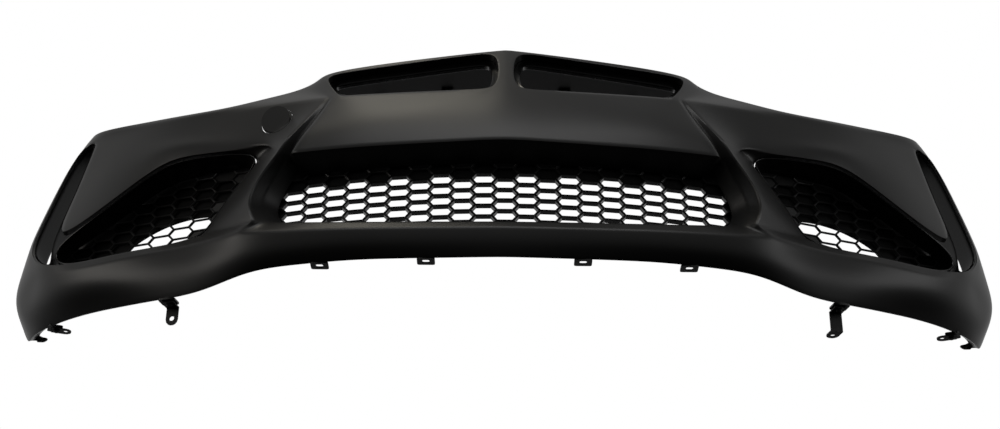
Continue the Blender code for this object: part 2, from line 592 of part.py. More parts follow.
def surface_tree(item):
    """The faces of an object as it stands, for finding places on them."""
    shape = bmesh.new()
    shape.from_mesh(evaluated_mesh(item, "surface"))
    tree = BVHTree.FromBMesh(shape)
    shape.free()
    return tree


def make_cap(skin, tree):
    """The cap is the piece of skin that fills its hole, with a boss behind it, at home on its axis."""
    blank = evaluated_mesh(skin, "tow_eye_cap")
    axis = Vector((-math.sin(CAP_SWING), math.cos(CAP_SWING), 0)) * -1
    front = tree.ray_cast(at(cap_centre()) + 0.1 * axis, -axis)[0]
    for v in blank.vertices:
        v.co -= front
    cap = add_object("tow_eye_cap", blank, SKIN_BLACK)
    cap.location = front
    boolean(cap, cap_cutter("cap_outline", CAP_RADIUS), "INTERSECT")
    radius, length = CAP_BOSS
    shape = bmesh.new()
    cylinder_shape(shape, radius, -length - SKIN, -SKIN / 2, 32)
    boss = guide(add_object("cap_boss", mesh_from("cap_boss", shape), SKIN_BLACK, CUTTERS))
    boss.location = front
    boss.rotation_euler = (math.radians(90), 0, CAP_SWING)
    boolean(cap, boss, "UNION")
    return cap


# ---------------------------------------------------------------- rings behind the openings
def ring_shape(stations, closed=True, crease=0.9):
    """An open band through loops of points, one station after the other."""
    shape = bmesh.new()
    loops = [[shape.verts.new(at(p)) for p in station] for station in stations]
    layer = shape.edges.layers.float.new("crease_edge")
    count = len(loops[0])
    for front, rear in zip(loops, loops[1:]):
        for i in range(count if closed else count - 1):
            j = (i + 1) % count
            shape.faces.new((front[i], front[j], rear[j], rear[i]))
    for loop in loops:
        for i in range(count if closed else count - 1):
            edge = shape.edges.get((loop[i], loop[(i + 1) % count]))
            edge[layer] = crease
    return shape


def ring(name, stations, wall, finish):
    shape = ring_shape(stations)
    item = add_object(name, mesh_from(name, shape), finish)
    subdivide(item)
    thicken(item, wall)
    return item


def make_intake_trim():
    outer = offset(edge_points(TRIM_LOOP), TRIM_CLEARANCE)
    front = outer + np.array([0, TRIM_SETBACK, 0])
    middle = outer + np.array([0, SIDE_WALL + TRIM_STRAIGHT, 0])
    rear = offset(outer, TRIM_STEP)
    rear[:, 1] = side_grille_y(rear[:, 0]) - GAP
    return ring("left_intake_trim", [front, middle, rear], TRIM_WALL, GRILLE_BLACK)


def make_curtain_duct():
    outer = offset(edge_points(SLOT_LOOP), TRIM_CLEARANCE)
    front = outer + np.array([0, TRIM_SETBACK, 0])
    rear = outer + np.array([0, TRIM_SETBACK + DUCT_LENGTH, 0])
    return ring("left_air_curtain_duct", [front, rear], TRIM_WALL, DUCT_BLACK)


def make_upper_seat():
    edge = edge_points(UPPER_HOLE)
    outer = offset(edge, -SKIN) + np.array([0, UPPER_WALL + LAND_GAP, 0])
    inner = offset(edge, SEAT_WIDTH) + np.array([0, UPPER_WALL + LAND_GAP, 0])
    rear = inner + np.array([0, SEAT_DEPTH, 0])
    return ring("left_upper_seat", [outer, inner, rear], -TRIM_WALL, DUCT_BLACK)


# ---------------------------------------------------------------- grilles
def resample(points, step):
    """Points along a closed outline, no further apart than step."""
    out = []
    for a, b in zip(points, np.roll(points, -1, axis=0)):
        count = max(1, math.ceil(np.linalg.norm(b - a) / step))
        out += [a + (b - a) * k / count for k in range(count)]
    return np.array(out)


def distance_inside(point, outline):
    """How far a 2-D point is inside a closed outline, negative outside."""
    a, b = outline, np.roll(outline, -1, axis=0)
    span = b - a
    along = np.clip(((point - a) * span).sum(1) / (span**2).sum(1), 0, 1)
    nearest = np.linalg.norm(a + along[:, None] * span - point, axis=1).min()
    crosses = (a[:, 1] > point[1]) != (b[:, 1] > point[1])
    height = np.where(span[:, 1] == 0, 1, span[:, 1])
    inside = (crosses & (point[0] < a[:, 0] + (point[1] - a[:, 1]) * span[:, 0] / height)).sum() % 2
    return nearest if inside else -nearest


def hex_cell(centre, pitch, wall):
    """A long hexagon with points at its left and right ends."""
    point = 0.25 * pitch[0]
    half_flat = (pitch[0] - point) / 2 - 0.35 * wall
    half_tall = (pitch[1] - wall) / 2
    half_long = half_flat + point * (1 - wall / pitch[1]) - 0.1 * wall
    x, z = centre
    return [(x - half_long, z), (x - half_flat, z + half_tall), (x + half_flat, z + half_tall),
            (x + half_long, z), (x + half_flat, z - half_tall), (x - half_flat, z - half_tall)]


def flat_plate(name, loops, depth):
    """A flat plate in the XZ plane from an outline and its holes, the front face at y = 0."""
    curve = bpy.data.curves.new(name, "CURVE")
    curve.dimensions = "2D"
    curve.fill_mode = "BOTH"
    curve.extrude = depth / 2

    for points in loops:
        spline = curve.splines.new("POLY")
        spline.points.add(len(points) - 1)
        for slot, (x, z) in zip(spline.points, points):
            slot.co = (x, z, 0, 1)
        spline.use_cyclic_u = True
    flat = bpy.data.objects.new(name, curve)
    CUTTERS.objects.link(flat)
    mesh = evaluated_mesh(flat, name)
    bpy.data.objects.remove(flat, do_unlink=True)
    shape = bmesh.new()
    shape.from_mesh(mesh)
    for way in (-1, 1):
        faces = [f for f in shape.faces if f.normal.z * way > 0.9]
        edges = {e for f in faces for e in f.edges if all(g.normal.z * way > 0.9 for g in e.link_faces)}
        bmesh.ops.beautify_fill(shape, faces=faces, edges=list(edges), method="AREA")
    for v in shape.verts:
        v.co = (v.co.x, depth / 2 - v.co.z, v.co.y)
    shape.to_mesh(mesh)
    shape.free()
    return mesh


def hex_plate(name, outline, pitch, wall, depth, row=None, closed_above=None):
    """A flat plate pierced by long hexagons. row is the height of a row of the middle column, and
    closed_above gives the height at x past which no cell is open."""
    low, high = outline.min(axis=0), outline.max(axis=0)
    middle = (low + high) / 2
    if row is not None:
        middle[1] = row
    columns = math.ceil((high[0] - low[0]) / pitch[0] / 2)
    rows = math.ceil((high[1] - low[1]) / pitch[1]) + 1
    loops = [resample(outline, pitch[0])]
    for i in range(-columns, columns + 1):
        for j in range(-rows, rows + 1):
            place = middle + np.array([i, j + 0.5 * (i % 2)]) * pitch
            cell = hex_cell(place, pitch, wall)
            if closed_above and place[1] > closed_above(place[0]):
                continue
            if min(distance_inside(np.array(p), outline) for p in cell) > CELL_BORDER:
                loops.append(cell)
    return flat_plate(name, loops, depth)


def make_centre_grille():
    half = offset(tunnel_rear(edge_points(CENTRE_EDGE)), -LAND + GRILLE_PLAY, closed=False)[:, [0, 2]]
    other = half[-2:0:-1] * np.array([-1, 1])
    outline = np.vstack([half, other])

    def pocket_edge(x):
        return np.interp(abs(x), half[:FLANK + 1, 0], half[:FLANK + 1, 1]) - POCKET_BAND

    mesh = hex_plate("centre_grille", outline, CELL_PITCH, CELL_WALL, GRILLE_DEPTH, CELL_ROW, pocket_edge)
    for v in mesh.vertices:
        v.co = at((v.co.x, v.co.y + grille_y(v.co.x) + LAND_GAP, v.co.z))
    return add_object("centre_grille", mesh, GRILLE_BLACK)


def make_side_grille():
    """The mesh and the blanking panel behind it: flat plates on a slanted plane, each placed by its
    location and its turn about Z. The panel stops at an arc above the low inner corner of the mesh."""
    inner = offset(offset(edge_points(TRIM_LOOP), TRIM_CLEARANCE), TRIM_STEP - GRILLE_LAP)
    turn = math.atan(SIDE_GRILLE_FRONT[1])
    middle = inner.mean(axis=0)

    def on_plane(x):
        return (x - middle[0]) / math.cos(turn)

    outline = np.stack([on_plane(inner[:, 0]), inner[:, 2] - middle[2]], axis=1)
    mesh = hex_plate("left_intake_grille", outline, SIDE_CELL_PITCH, SIDE_CELL_WALL, SIDE_GRILLE_DEPTH)
    panel = resample(outline, PANEL_STEP)
    across, up, radius = PANEL_ARC
    drop = np.clip(panel[:, 0] - on_plane(across), -radius, radius)
    arc = up - middle[2] - radius + np.sqrt(radius**2 - drop**2)
    panel[:, 1] = np.maximum(panel[:, 1], arc)
    plate = flat_plate("left_intake_blanking_panel", [panel], PANEL_DEPTH)
    items = []
    for item, behind in ((add_object("left_intake_grille", mesh, GRILLE_BLACK), GAP),
                         (add_object("left_intake_blanking_panel", plate, DUCT_BLACK), PANEL_SET)):
        item.location = at((middle[0], side_grille_y(middle[0]) + behind, middle[2]))
        item.rotation_euler = (0, 0, turn)
        items.append(item)
    return items


# ---------------------------------------------------------------- brackets, clips and screws
def make_plate(name, profile, width, finish, outward=1, rounded=False):
    """A plate of even thickness bent along a profile of (y, z) points, width across X, its far end
    square or rounded."""
    radius = width / 2
    halves = [radius] * len(profile)
    if rounded:
        tip, before = Vector(profile[-1]), Vector(profile[-2])
        way = (tip - before).normalized()
        turns = [math.radians(angle) for angle in ROUND_END]
        profile = profile[:-1] + [tip + radius * (math.sin(turn) - 1) * way for turn in turns]
        halves = halves[:-1] + [radius * math.cos(turn) for turn in turns]
    shape = bmesh.new()
    rails = [[shape.verts.new((side * half, y, z)) for (y, z), half in zip(profile, halves)]
             for side in (-1, 1)]
    for k in range(len(profile) - 1):
        shape.faces.new((rails[0][k], rails[0][k + 1], rails[1][k + 1], rails[1][k]))
    item = add_object(name, mesh_from(name, shape), finish)
    thicken(item, PLATE * outward, even=True)
    return item


def drill(item, radius, centre, upright=False):
    """A round hole through a plate at a place in the plate's own frame, along Z, or along Y where the
    plate is upright."""
    shape = bmesh.new()
    cylinder_shape(shape, radius, -DRILL_REACH, DRILL_REACH)
    if upright:
        bmesh.ops.rotate(shape, matrix=Matrix.Rotation(math.radians(90), 3, "X"), verts=shape.verts)
    bmesh.ops.translate(shape, vec=centre, verts=shape.verts)
    cutter = guide(add_object("drill", mesh_from("drill", shape), finish=STEEL, group=CUTTERS))
    cutter.parent = item
    boolean(item, cutter, "DIFFERENCE")


def make_brackets():
    """Each lower bracket runs under its tab to the bend and hangs down; the left one has a foot too."""
    bend, drop, foot = LOWER_BRACKET
    for side, side_name in ((1, "left"), (-1, "right")):
        profile = [(BRACKET_START, -GAP), (bend, -GAP), (bend, -GAP - drop)]
        if side > 0:
            profile.append((bend + foot, -GAP - drop))
        lower = make_plate(side_name + "_lower_bracket", profile, BRACKET_WIDTH, STEEL, -1, True)
        drill(lower, SCREW_HOLE, (0, SCREW_BACK, 0))
        if side > 0:
            drill(lower, BRACKET_HOLE, (0, bend + FOOT_HOLE, -drop))
        else:
            drill(lower, BRACKET_HOLE, (0, bend, -STRIP_HOLE), upright=True)
        put_at_lower_edge(lower, BRACKET_PLACES[0], side)
        profile = [(BRACKET_START, -GAP), (ARCH_BRACKET_LENGTH, -GAP)]
        arch = make_plate(side_name + "_arch_bracket", profile, BRACKET_WIDTH, STEEL, -1, True)
        drill(arch, SCREW_HOLE, (0, SCREW_BACK, 0))
        drill(arch, BRACKET_HOLE, (0, ARCH_BRACKET_LENGTH - ARCH_HOLE, 0))
        put_at_lower_edge(arch, BRACKET_PLACES[1], side)


def make_screw(name, x, side):
    """A pan head screw from below: the head under the bracket, the shank up through the tab."""
    shank, head, tall = SCREW
    shape = bmesh.new()
    under = -GAP - PLATE - GAP
    tip = under + SCREW_REACH
    profile = [(0, tip), (shank, tip - SCREW_TIP), (shank, under), (head, under),
               (head, under - 0.4 * tall), (head * 0.7, under - tall), (0, under - tall)]
    points = [shape.verts.new((r, 0, z)) for r, z in profile]
    for a, b in zip(points, points[1:]):
        shape.edges.new((a, b))
    item = add_object(name, mesh_from(name, shape), STEEL)
    turned = item.modifiers.new("Turned", "SCREW")
    turned.steps = 20
    turned.render_steps = 20
    turned.use_merge_vertices = True
    turned.merge_threshold = 1e-5
    put_at_lower_edge(item, x, side)
    item.location += Matrix.Rotation(item.rotation_euler.z, 3, "Z") @ Vector((0, SCREW_BACK, 0))
    return item


def make_clip(name, place, off_edge, normal, sheet, reach=CLIP[1]):
    """A C-shaped spring clip pushed over an edge at a place: its +Y leaves the edge and its +Z is the
    surface's normal. sheet is the thickness it grips, below the surface."""
    loose = 2 * GAP
    profile = [(-reach, loose), (loose, loose), (loose, -sheet - loose), (-reach, -sheet - loose)]
    item = make_plate(name, profile, CLIP[0], STEEL)
    y = Vector(off_edge).normalized()
    x = y.cross(Vector(normal)).normalized()
    item.matrix_world = Matrix.Translation(place) @ Matrix((x, y, x.cross(y))).transposed().to_4x4()


def clip_on_skin(name, tree, place, off_edge, normal):
    """A clip on an edge of the skin, laid on the surface found just inside the edge."""
    off = Vector(off_edge).normalized()
    out = Vector(normal).normalized()
    inside = at(place) - CLIP[1] / 2 * off
    hit, surface, _, _ = tree.ray_cast(inside + 3 * SKIN * out, -out)
    off = (off - off.dot(surface) * surface).normalized()
    make_clip(name, hit + (CLIP[1] / 2 + SKIN) * off, off, surface, SKIN)


def row_point(row, x):
    """The point of a cage row at distance x from the centre plane."""
    line = GRID[row, :STRIP]
    return np.array([np.interp(x, line[:, 0], line[:, axis]) for axis in range(3)])


def make_shelf_clips(tree):
    for side, side_name in ((1, "left"), (-1, "right")):
        mirror = np.array([side, 1, 1])
        for number, x in enumerate(CLIP_PLACES, 1):
            rear, front = row_point(SHELF_REAR, x), row_point(BROW, x)
            along = (row_point(SHELF_REAR, x + 0.02) - rear) * mirror
            off = (rear - front) * mirror
            normal = np.cross(along, off) * side
            clip_on_skin(f"{side_name}_shelf_clip_{number}", tree, rear * mirror, off, normal)


def make_arch_clips(tree):
    for side, side_name in ((1, "left"), (-1, "right")):
        mirror = np.array([side, 1, 1])
        for number, row in enumerate((LIP, SILL), 1):
            off = GRID[row, ARCH_IN] - GRID[row, ARCH]
            down = GRID[row + 1, ARCH_IN] - GRID[row - 1, ARCH_IN]
            normal = np.cross(down, off)
            clip_on_skin(f"{side_name}_arch_clip_{number}", tree, GRID[row, ARCH_IN] * mirror,
                         off * mirror, normal * mirror)


def make_grille_clips():
    """Clips over the land of the centre tunnel and the grille's border behind it."""
    rear = tunnel_rear(edge_points(CENTRE_EDGE))
    top = offset(rear, -LAND, closed=False)[:FLANK]
    for side, side_name in ((1, "left"), (-1, "right")):
        for number, x in enumerate(GRILLE_CLIP_PLACES, 1):
            place = np.array([x, grille_y(x) + GRILLE_DEPTH + LAND_GAP, np.interp(x, top[:, 0], top[:, 2])])
            normal = np.array([-2 * GRILLE_BOW * x * side, 1, 0])
            make_clip(f"{side_name}_grille_clip_{number}", at(place * np.array([side, 1, 1])), (0, 0, 1),
                      normal, GRILLE_DEPTH + LAND_GAP + SKIN, reach=0.6 * LAND)


def make_pad():
    pad = box("centre_mounting_pad", PAD, (0, 0, -PAD[2] / 2), DUCT_BLACK)
    edge = pad.modifiers.new("Edges", "BEVEL")
    edge.width = 0.0008
    edge.segments = 1


def main():
    skin = make_skin()
    tree = surface_tree(skin)
    make_cap(skin, tree)
    finish_skin(skin)
    make_centre_grille()
    for piece in (*make_side_grille(), make_intake_trim(), make_curtain_duct(), make_upper_seat()):
        mirrored(piece, piece.name.replace("left", "right"))
    make_brackets()
    for side, side_name in ((1, "left"), (-1, "right")):
        for kind, x in zip(("lower", "arch"), BRACKET_PLACES):
            make_screw(f"{side_name}_{kind}_bracket_screw", x, side)
    make_shelf_clips(tree)
    make_arch_clips(tree)
    make_grille_clips()
    make_pad()


main()
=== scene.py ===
# %% [markdown]
# # The looks of a front bumper cover
# A bumper cover is one large moulding of black polypropylene, three millimetres thick, that clips and
# screws to the front of a car. Grilles, ducts and a tow eye cap sit in its openings. The solid model holds
# the sizes; this lesson gives every visible piece its fine surface and its finish.

# %% Load the frame
import math

import bmesh
import bpy
import numpy as np
from mathutils import Matrix, Vector


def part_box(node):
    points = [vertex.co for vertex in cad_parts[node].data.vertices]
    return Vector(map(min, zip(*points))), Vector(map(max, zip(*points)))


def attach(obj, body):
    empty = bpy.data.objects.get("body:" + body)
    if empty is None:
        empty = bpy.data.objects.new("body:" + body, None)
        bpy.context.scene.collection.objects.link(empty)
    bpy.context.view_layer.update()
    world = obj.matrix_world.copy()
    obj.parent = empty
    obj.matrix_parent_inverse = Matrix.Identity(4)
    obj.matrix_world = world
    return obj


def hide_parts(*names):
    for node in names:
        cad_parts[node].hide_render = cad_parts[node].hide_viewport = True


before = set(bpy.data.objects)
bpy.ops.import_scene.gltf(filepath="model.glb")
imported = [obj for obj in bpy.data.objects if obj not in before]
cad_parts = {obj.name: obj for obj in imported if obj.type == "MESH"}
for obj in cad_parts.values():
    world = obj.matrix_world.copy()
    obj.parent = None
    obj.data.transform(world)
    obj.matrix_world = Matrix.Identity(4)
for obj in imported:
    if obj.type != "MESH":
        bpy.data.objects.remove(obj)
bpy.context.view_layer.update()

# %% [markdown]
# ## Sizes of the moulding
# The solid model and this surface share one set of sizes, in metres. The skin is an even 3 mm wall, the
# usual wall for injected polypropylene of this length. The other sizes place the openings and their pieces.

# %% Sizes
HALF_WIDTH = 0.914  # centre plane to the widest point of the side wall
CENTRE_HALF = 0.442  # centre plane to the ridge beside the centre intake
BODY_DEPTH = 0.570  # nose point to the rear end of the top seam
TOP_HEIGHT = 0.364  # nose datum to the brow over the upper openings
BOTTOM_DROP = 0.085  # nose datum down to the lower edge at the centre
SKIN = 0.003  # wall of the moulded skin
GAP = 0.0006  # clearance between pieces that rest on each other
LAND_GAP = 0.0014  # clearance of a grille to the moulded land it sits on

SHELF_DEPTH = 0.130  # top shelf, brow to rear edge
SHELF_RISE = 0.004  # height of the shelf's rear edge over the brow
SEAM_FLANGE = 0.024  # return under the headlamp and along the wing seam
BOTTOM_RETURN = 0.022  # return along the lower edge
BOTTOM_RETURN_TILT = math.radians(38)  # how steeply that return climbs
ARCH_RETURN = 0.024  # return round the wheel arch
ARCH_CENTRE = (0.800, 0.065)  # wheel arch centre, y and z
ARCH_RADIUS = 0.370

GRILLE_SET = 0.072  # nose point to the front face of the centre grille
GRILLE_BOW = 0.40  # the centre grille's plan curve is y = bow * x^2
GRILLE_PLAY = 0.002  # centre grille inside the outer edge of its land
LAND = 0.013  # flat land at the rear of the centre tunnel that carries the grille
TUNNEL_DRAFT = (0.026, 0.010)  # how far the tunnel narrows at its ends, and at its roof and floor
SIDE_WALL = 0.016  # side intake and slot wall behind the lip
UPPER_WALL = 0.020  # upper opening wall behind the lip

GRILLE_DEPTH = 0.014
CELL_PITCH = (0.0367, 0.0205)  # centre grille, column to column and row to row
CELL_WALL = 0.0032
CELL_ROW = 0.0722  # a row of the middle column, above the nose point
CELL_BORDER = 0.0035  # solid edge round the cells
POCKET_BAND = 0.029  # cells this close to the top edge of the centre grille stay closed
SIDE_GRILLE_DEPTH = 0.005
SIDE_CELL_PITCH = (0.0400, 0.0205)
SIDE_CELL_WALL = 0.0030
GRILLE_LAP = 0.004  # side grille behind the rear edge of its trim
SIDE_GRILLE_FRONT = (0.170, 0.36)  # its plane: y at x = 0.43, and the slope dy/dx

TRIM_WALL = 0.0025
TRIM_CLEARANCE = 0.0016  # trim and duct to the wall of the skin they sit in
TRIM_SETBACK = 0.007  # front edge of the trim behind the lip of the side intake
TRIM_STRAIGHT = 0.004  # how far the trim runs straight past the wall
TRIM_STEP = 0.009  # how far the trim steps in at the grille
DUCT_LENGTH = 0.075
SEAT_WIDTH = 0.012  # seat ring of an upper opening, seen width
SEAT_DEPTH = 0.012

CAP_RADIUS = 0.0285  # tow eye cap
CAP_GAP = 0.0012
CAP_SWING = math.radians(-14)  # plan angle of its axis from -Y
CAP_BOSS = (0.0265, 0.012)  # boss behind the cap, radius and length
CAP_REACH = 0.050  # how far the cap is cut through on either side of its middle
TAB = (0.030, 0.024, 0.0028)  # tab on the lower edge, width, length and thickness
TAB_SLOT = (0.012, 0.012)
SLOT_BACK = 0.52 * TAB[1]  # slot centre behind the lower edge
PAD = (0.110, 0.030, 0.004)  # centre mounting pad
TAB_CORNER = 0.004
SLOT_CORNER = 0.0028
SCREW_HOLE = 0.0031
SLOT_REACH = 0.015  # how far the cut of a tab's slot runs on either side
HOLE_REACH = 0.010  # the same for a screw hole
TAB_PLACES = (0.131, 0.310)  # bare tabs, from the centre plane
SCREW_BACK = 0.65 * TAB[1]  # screw axis behind the lower edge
BRACKET_PLACES = (0.577, 0.828)  # tabs that carry the inner and the arch bracket

# %% [markdown]
# ## The drawing of the half skin
# The real tool is cut from a lofted surface. Here a few lines cross the half car from the centre plane to
# the wheel arch. Each line has only the points that its shape needs, and a monotone cubic fills in the rest,
# which gives a coarse cage of rows and columns.

# %% The lines of the cage
# The outlines are drawn at these sizes, and stretched zone by zone to the driving sizes above.
DRAWN_X = (0.0, 0.442, 0.914)
REAL_X = (0.0, CENTRE_HALF, HALF_WIDTH)
DRAWN_Y = (-0.1, 0.100, 0.570)
REAL_Y = (-0.1, 0.100, BODY_DEPTH)
DRAWN_Z = (-0.300, -0.085, 0.364, 0.7)
REAL_Z = (-0.215 - BOTTOM_DROP, -BOTTOM_DROP, TOP_HEIGHT, TOP_HEIGHT + 0.336)

# Columns of the cage, from the centre plane outwards to the wheel arch.
CENTRE, DIVIDER, UPPER_A, UPPER_B, UPPER_END, NOSE, FLANK, RIDGE, INTAKE = range(9)
STRIP, BEND, BLADE_A, BLADE_B, SLOT_IN, SLOT_OUT, RIM, WING_A, WING_B, ARCH, ARCH_IN = range(9, 20)
# Rows of the cage, from the rear of the top shelf down to the return of the lower edge.
(SHELF_REAR, BROW, UPPER_TOP, UPPER_LOW, CROWN, CHIN, LIP, SIDE_A, SIDE_B,
 SILL, SILL_RIDGE, APRON, BOTTOM, BOTTOM_IN) = range(14)

# Each drawn line crosses the half car from the centre to the arch: column: (x, y, z).
LINES = {
    BROW: {
        CENTRE: (0, 0.105, 0.364), DIVIDER: (0.012, 0.105, 0.363), UPPER_END: (0.322, 0.150, 0.342),
        FLANK: (0.352, 0.162, 0.324), RIDGE: (0.385, 0.168, 0.311), INTAKE: (0.440, 0.172, 0.298),
        STRIP: (0.505, 0.170, 0.276), BEND: (0.600, 0.205, 0.279), SLOT_IN: (0.765, 0.305, 0.304),
        SLOT_OUT: (0.784, 0.326, 0.309), RIM: (0.796, 0.350, 0.314), ARCH: (0.850, None, 0.355),
    },
    UPPER_TOP: {
        CENTRE: (0, 0.100, 0.357), DIVIDER: (0.012, 0.100, 0.356), UPPER_A: (0.050, 0.103, 0.354),
        UPPER_B: (0.300, 0.140, 0.3345), UPPER_END: (0.334, 0.147, 0.330),
        FLANK: (0.362, 0.156, 0.309), RIDGE: (0.391, 0.159, 0.298), INTAKE: (0.440, 0.162, 0.286),
        STRIP: (0.505, 0.163, 0.268), BEND: (0.600, 0.196, 0.270), SLOT_IN: (0.770, 0.306, 0.295),
        SLOT_OUT: (0.790, 0.326, 0.299), RIM: (0.804, 0.350, 0.303), ARCH: (0.862, None, 0.322),
    },
    UPPER_LOW: {
        CENTRE: (0, 0.047, 0.250), DIVIDER: (0.012, 0.046, 0.246), UPPER_A: (0.045, 0.048, 0.2465),
        UPPER_B: (0.265, 0.081, 0.2535), UPPER_END: (0.296, 0.089, 0.254),
        NOSE: (0.305, 0.092, 0.254), FLANK: (0.311, 0.095, 0.254), RIDGE: (0.319, 0.098, 0.255),
        INTAKE: (0.388, 0.130, 0.264), STRIP: (0.495, 0.161, 0.262), BEND: (0.600, 0.192, 0.258),
        SLOT_IN: (0.772, 0.306, 0.284), SLOT_OUT: (0.800, 0.326, 0.281), RIM: (0.812, 0.350, 0.288),
        ARCH: (0.872, None, 0.285),
    },
    CROWN: {
        CENTRE: (0, 0.021, 0.195), UPPER_END: (0.262, 0.052, 0.197), NOSE: (0.332, 0.070, 0.190),
        FLANK: (0.342, 0.090, 0.198), RIDGE: (0.353, 0.084, 0.196), INTAKE: (0.420, 0.128, 0.206),
        STRIP: (0.520, 0.150, 0.204), BEND: (0.605, 0.180, 0.213), BLADE_B: (0.725, 0.258, 0.238),
        SLOT_IN: (0.780, 0.299, 0.242), SLOT_OUT: (0.819, 0.326, 0.243), RIM: (0.832, 0.349, 0.246),
        ARCH: (0.882, None, 0.240),
    },
    CHIN: {
        CENTRE: (0, 0.007, 0.152), UPPER_END: (0.278, 0.040, 0.152), NOSE: (0.353, 0.058, 0.152),
        FLANK: (0.362, 0.086, 0.165), RIDGE: (0.382, 0.076, 0.158), INTAKE: (0.424, 0.126, 0.184),
        STRIP: (0.530, 0.144, 0.188), BEND: (0.606, 0.168, 0.193), BLADE_A: (0.660, 0.199, 0.181),
        BLADE_B: (0.736, 0.244, 0.168), SLOT_IN: (0.797, 0.286, 0.145), SLOT_OUT: (0.839, 0.325, 0.178),
        RIM: (0.852, 0.346, 0.180), ARCH: (0.891, None, 0.190),
    },
    LIP: {
        CENTRE: (0, 0.0, 0.118), UPPER_END: (0.288, 0.038, 0.118), NOSE: (0.368, 0.056, 0.118),
        FLANK: (0.376, 0.094, 0.134), RIDGE: (0.398, 0.074, 0.124), INTAKE: (0.416, 0.120, 0.167),
        STRIP: (0.545, 0.150, 0.168), BEND: (0.601, 0.169, 0.167), BLADE_A: (0.652, 0.190, 0.141),
        BLADE_B: (0.728, 0.220, 0.090), SLOT_IN: (0.820, 0.266, 0.042), SLOT_OUT: (0.857, 0.321, 0.112),
        RIM: (0.870, 0.342, 0.116), ARCH: (0.898, None, 0.140),
    },
    SIDE_A: {
        CENTRE: (0, 0.02, 0.070), NOSE: (0.380, 0.080, 0.080), FLANK: (0.408, 0.106, 0.086),
        RIDGE: (0.427, 0.073, 0.076), INTAKE: (0.466, 0.148, 0.111), SLOT_IN: (0.830, 0.290, 0.040),
        SLOT_OUT: (0.869, 0.316, 0.060), RIM: (0.882, 0.337, 0.062), ARCH: (0.905, None, 0.090),
    },
    SIDE_B: {
        CENTRE: (0, 0.03, 0.010), NOSE: (0.390, 0.080, 0.030), FLANK: (0.426, 0.109, 0.040),
        RIDGE: (0.442, 0.075, 0.030), INTAKE: (0.506, 0.162, 0.056), SLOT_IN: (0.822, 0.280, 0.010),
        SLOT_OUT: (0.861, 0.310, 0.040), RIM: (0.873, 0.327, 0.036), WING_A: (0.896, 0.362, 0.034),
        ARCH: (0.909, None, 0.040),
    },
    SILL: {
        CENTRE: (0, 0.036, -0.021), UPPER_END: (0.260, 0.046, -0.019), NOSE: (0.350, 0.062, -0.012),
        FLANK: (0.402, 0.094, 0.003), RIDGE: (0.428, 0.073, -0.006), INTAKE: (0.522, 0.158, 0.012),
        STRIP: (0.575, 0.160, -0.006), BEND: (0.635, 0.170, -0.013), BLADE_B: (0.747, 0.220, -0.014),
        SLOT_IN: (0.808, 0.256, -0.004), SLOT_OUT: (0.840, 0.285, 0.012), RIM: (0.859, 0.311, 0.008),
        WING_A: (0.904, 0.372, 0.006), WING_B: (0.913, 0.405, 0.008), ARCH: (0.912, None, 0.014),
    },
    SILL_RIDGE: {
        CENTRE: (0, 0.028, -0.035), UPPER_END: (0.260, 0.037, -0.036), NOSE: (0.355, 0.052, -0.033),
        FLANK: (0.415, 0.064, -0.030), RIDGE: (0.455, 0.082, -0.025), INTAKE: (0.518, 0.124, -0.020),
        STRIP: (0.575, 0.144, -0.025), BEND: (0.635, 0.162, -0.029), BLADE_B: (0.745, 0.212, -0.031),
        SLOT_IN: (0.798, 0.250, -0.022), SLOT_OUT: (0.829, 0.279, -0.014), RIM: (0.846, 0.300, -0.010),
        WING_A: (0.904, 0.378, -0.020), WING_B: (0.912, 0.410, -0.021), ARCH: (0.911, None, -0.018),
    },
    APRON: {
        CENTRE: (0, 0.030, -0.062), UPPER_END: (0.260, 0.040, -0.064), NOSE: (0.350, 0.055, -0.066),
        FLANK: (0.405, 0.067, -0.068), RIDGE: (0.450, 0.083, -0.070), INTAKE: (0.512, 0.112, -0.074),
        BEND: (0.630, 0.158, -0.074), BLADE_B: (0.742, 0.215, -0.071), SLOT_IN: (0.797, 0.256, -0.067),
        SLOT_OUT: (0.837, 0.300, -0.060), RIM: (0.868, 0.343, -0.054), WING_A: (0.889, 0.382, -0.050),
        WING_B: (0.901, 0.416, -0.047), ARCH: (0.904, None, -0.044),
    },
    BOTTOM: {
        CENTRE: (0, 0.042, -0.085), UPPER_END: (0.260, 0.060, -0.084), NOSE: (0.345, 0.077, -0.085),
        FLANK: (0.400, 0.088, -0.087), RIDGE: (0.445, 0.100, -0.094), INTAKE: (0.500, 0.122, -0.110),
        STRIP: (0.545, 0.140, -0.116), BEND: (0.605, 0.165, -0.115), BLADE_B: (0.715, 0.245, -0.099),
        SLOT_IN: (0.766, 0.288, -0.092), SLOT_OUT: (0.808, 0.328, -0.087), RIM: (0.842, 0.365, -0.083),
        WING_A: (0.865, 0.398, -0.079), WING_B: (0.882, 0.430, -0.075), ARCH: (0.892, None, -0.071),
    },
}
COLUMNS = ARCH_IN + 1
N_ROWS = BOTTOM_IN + 1
# Plan angle, in degrees, by which the inward direction of the edges turns from +Y to -X.
TURN = {CENTRE: 0, RIDGE: 0, STRIP: 8, BEND: 18, BLADE_B: 32, SLOT_IN: 45, SLOT_OUT: 60, RIM: 74,
        WING_A: 84, ARCH: 88, ARCH_IN: 88}
SHELF_SHARE = {CENTRE: 1, UPPER_END: 1, NOSE: 0.92, FLANK: 0.75, RIDGE: 0.55, INTAKE: 0.25, STRIP: 0,
               ARCH_IN: 0}


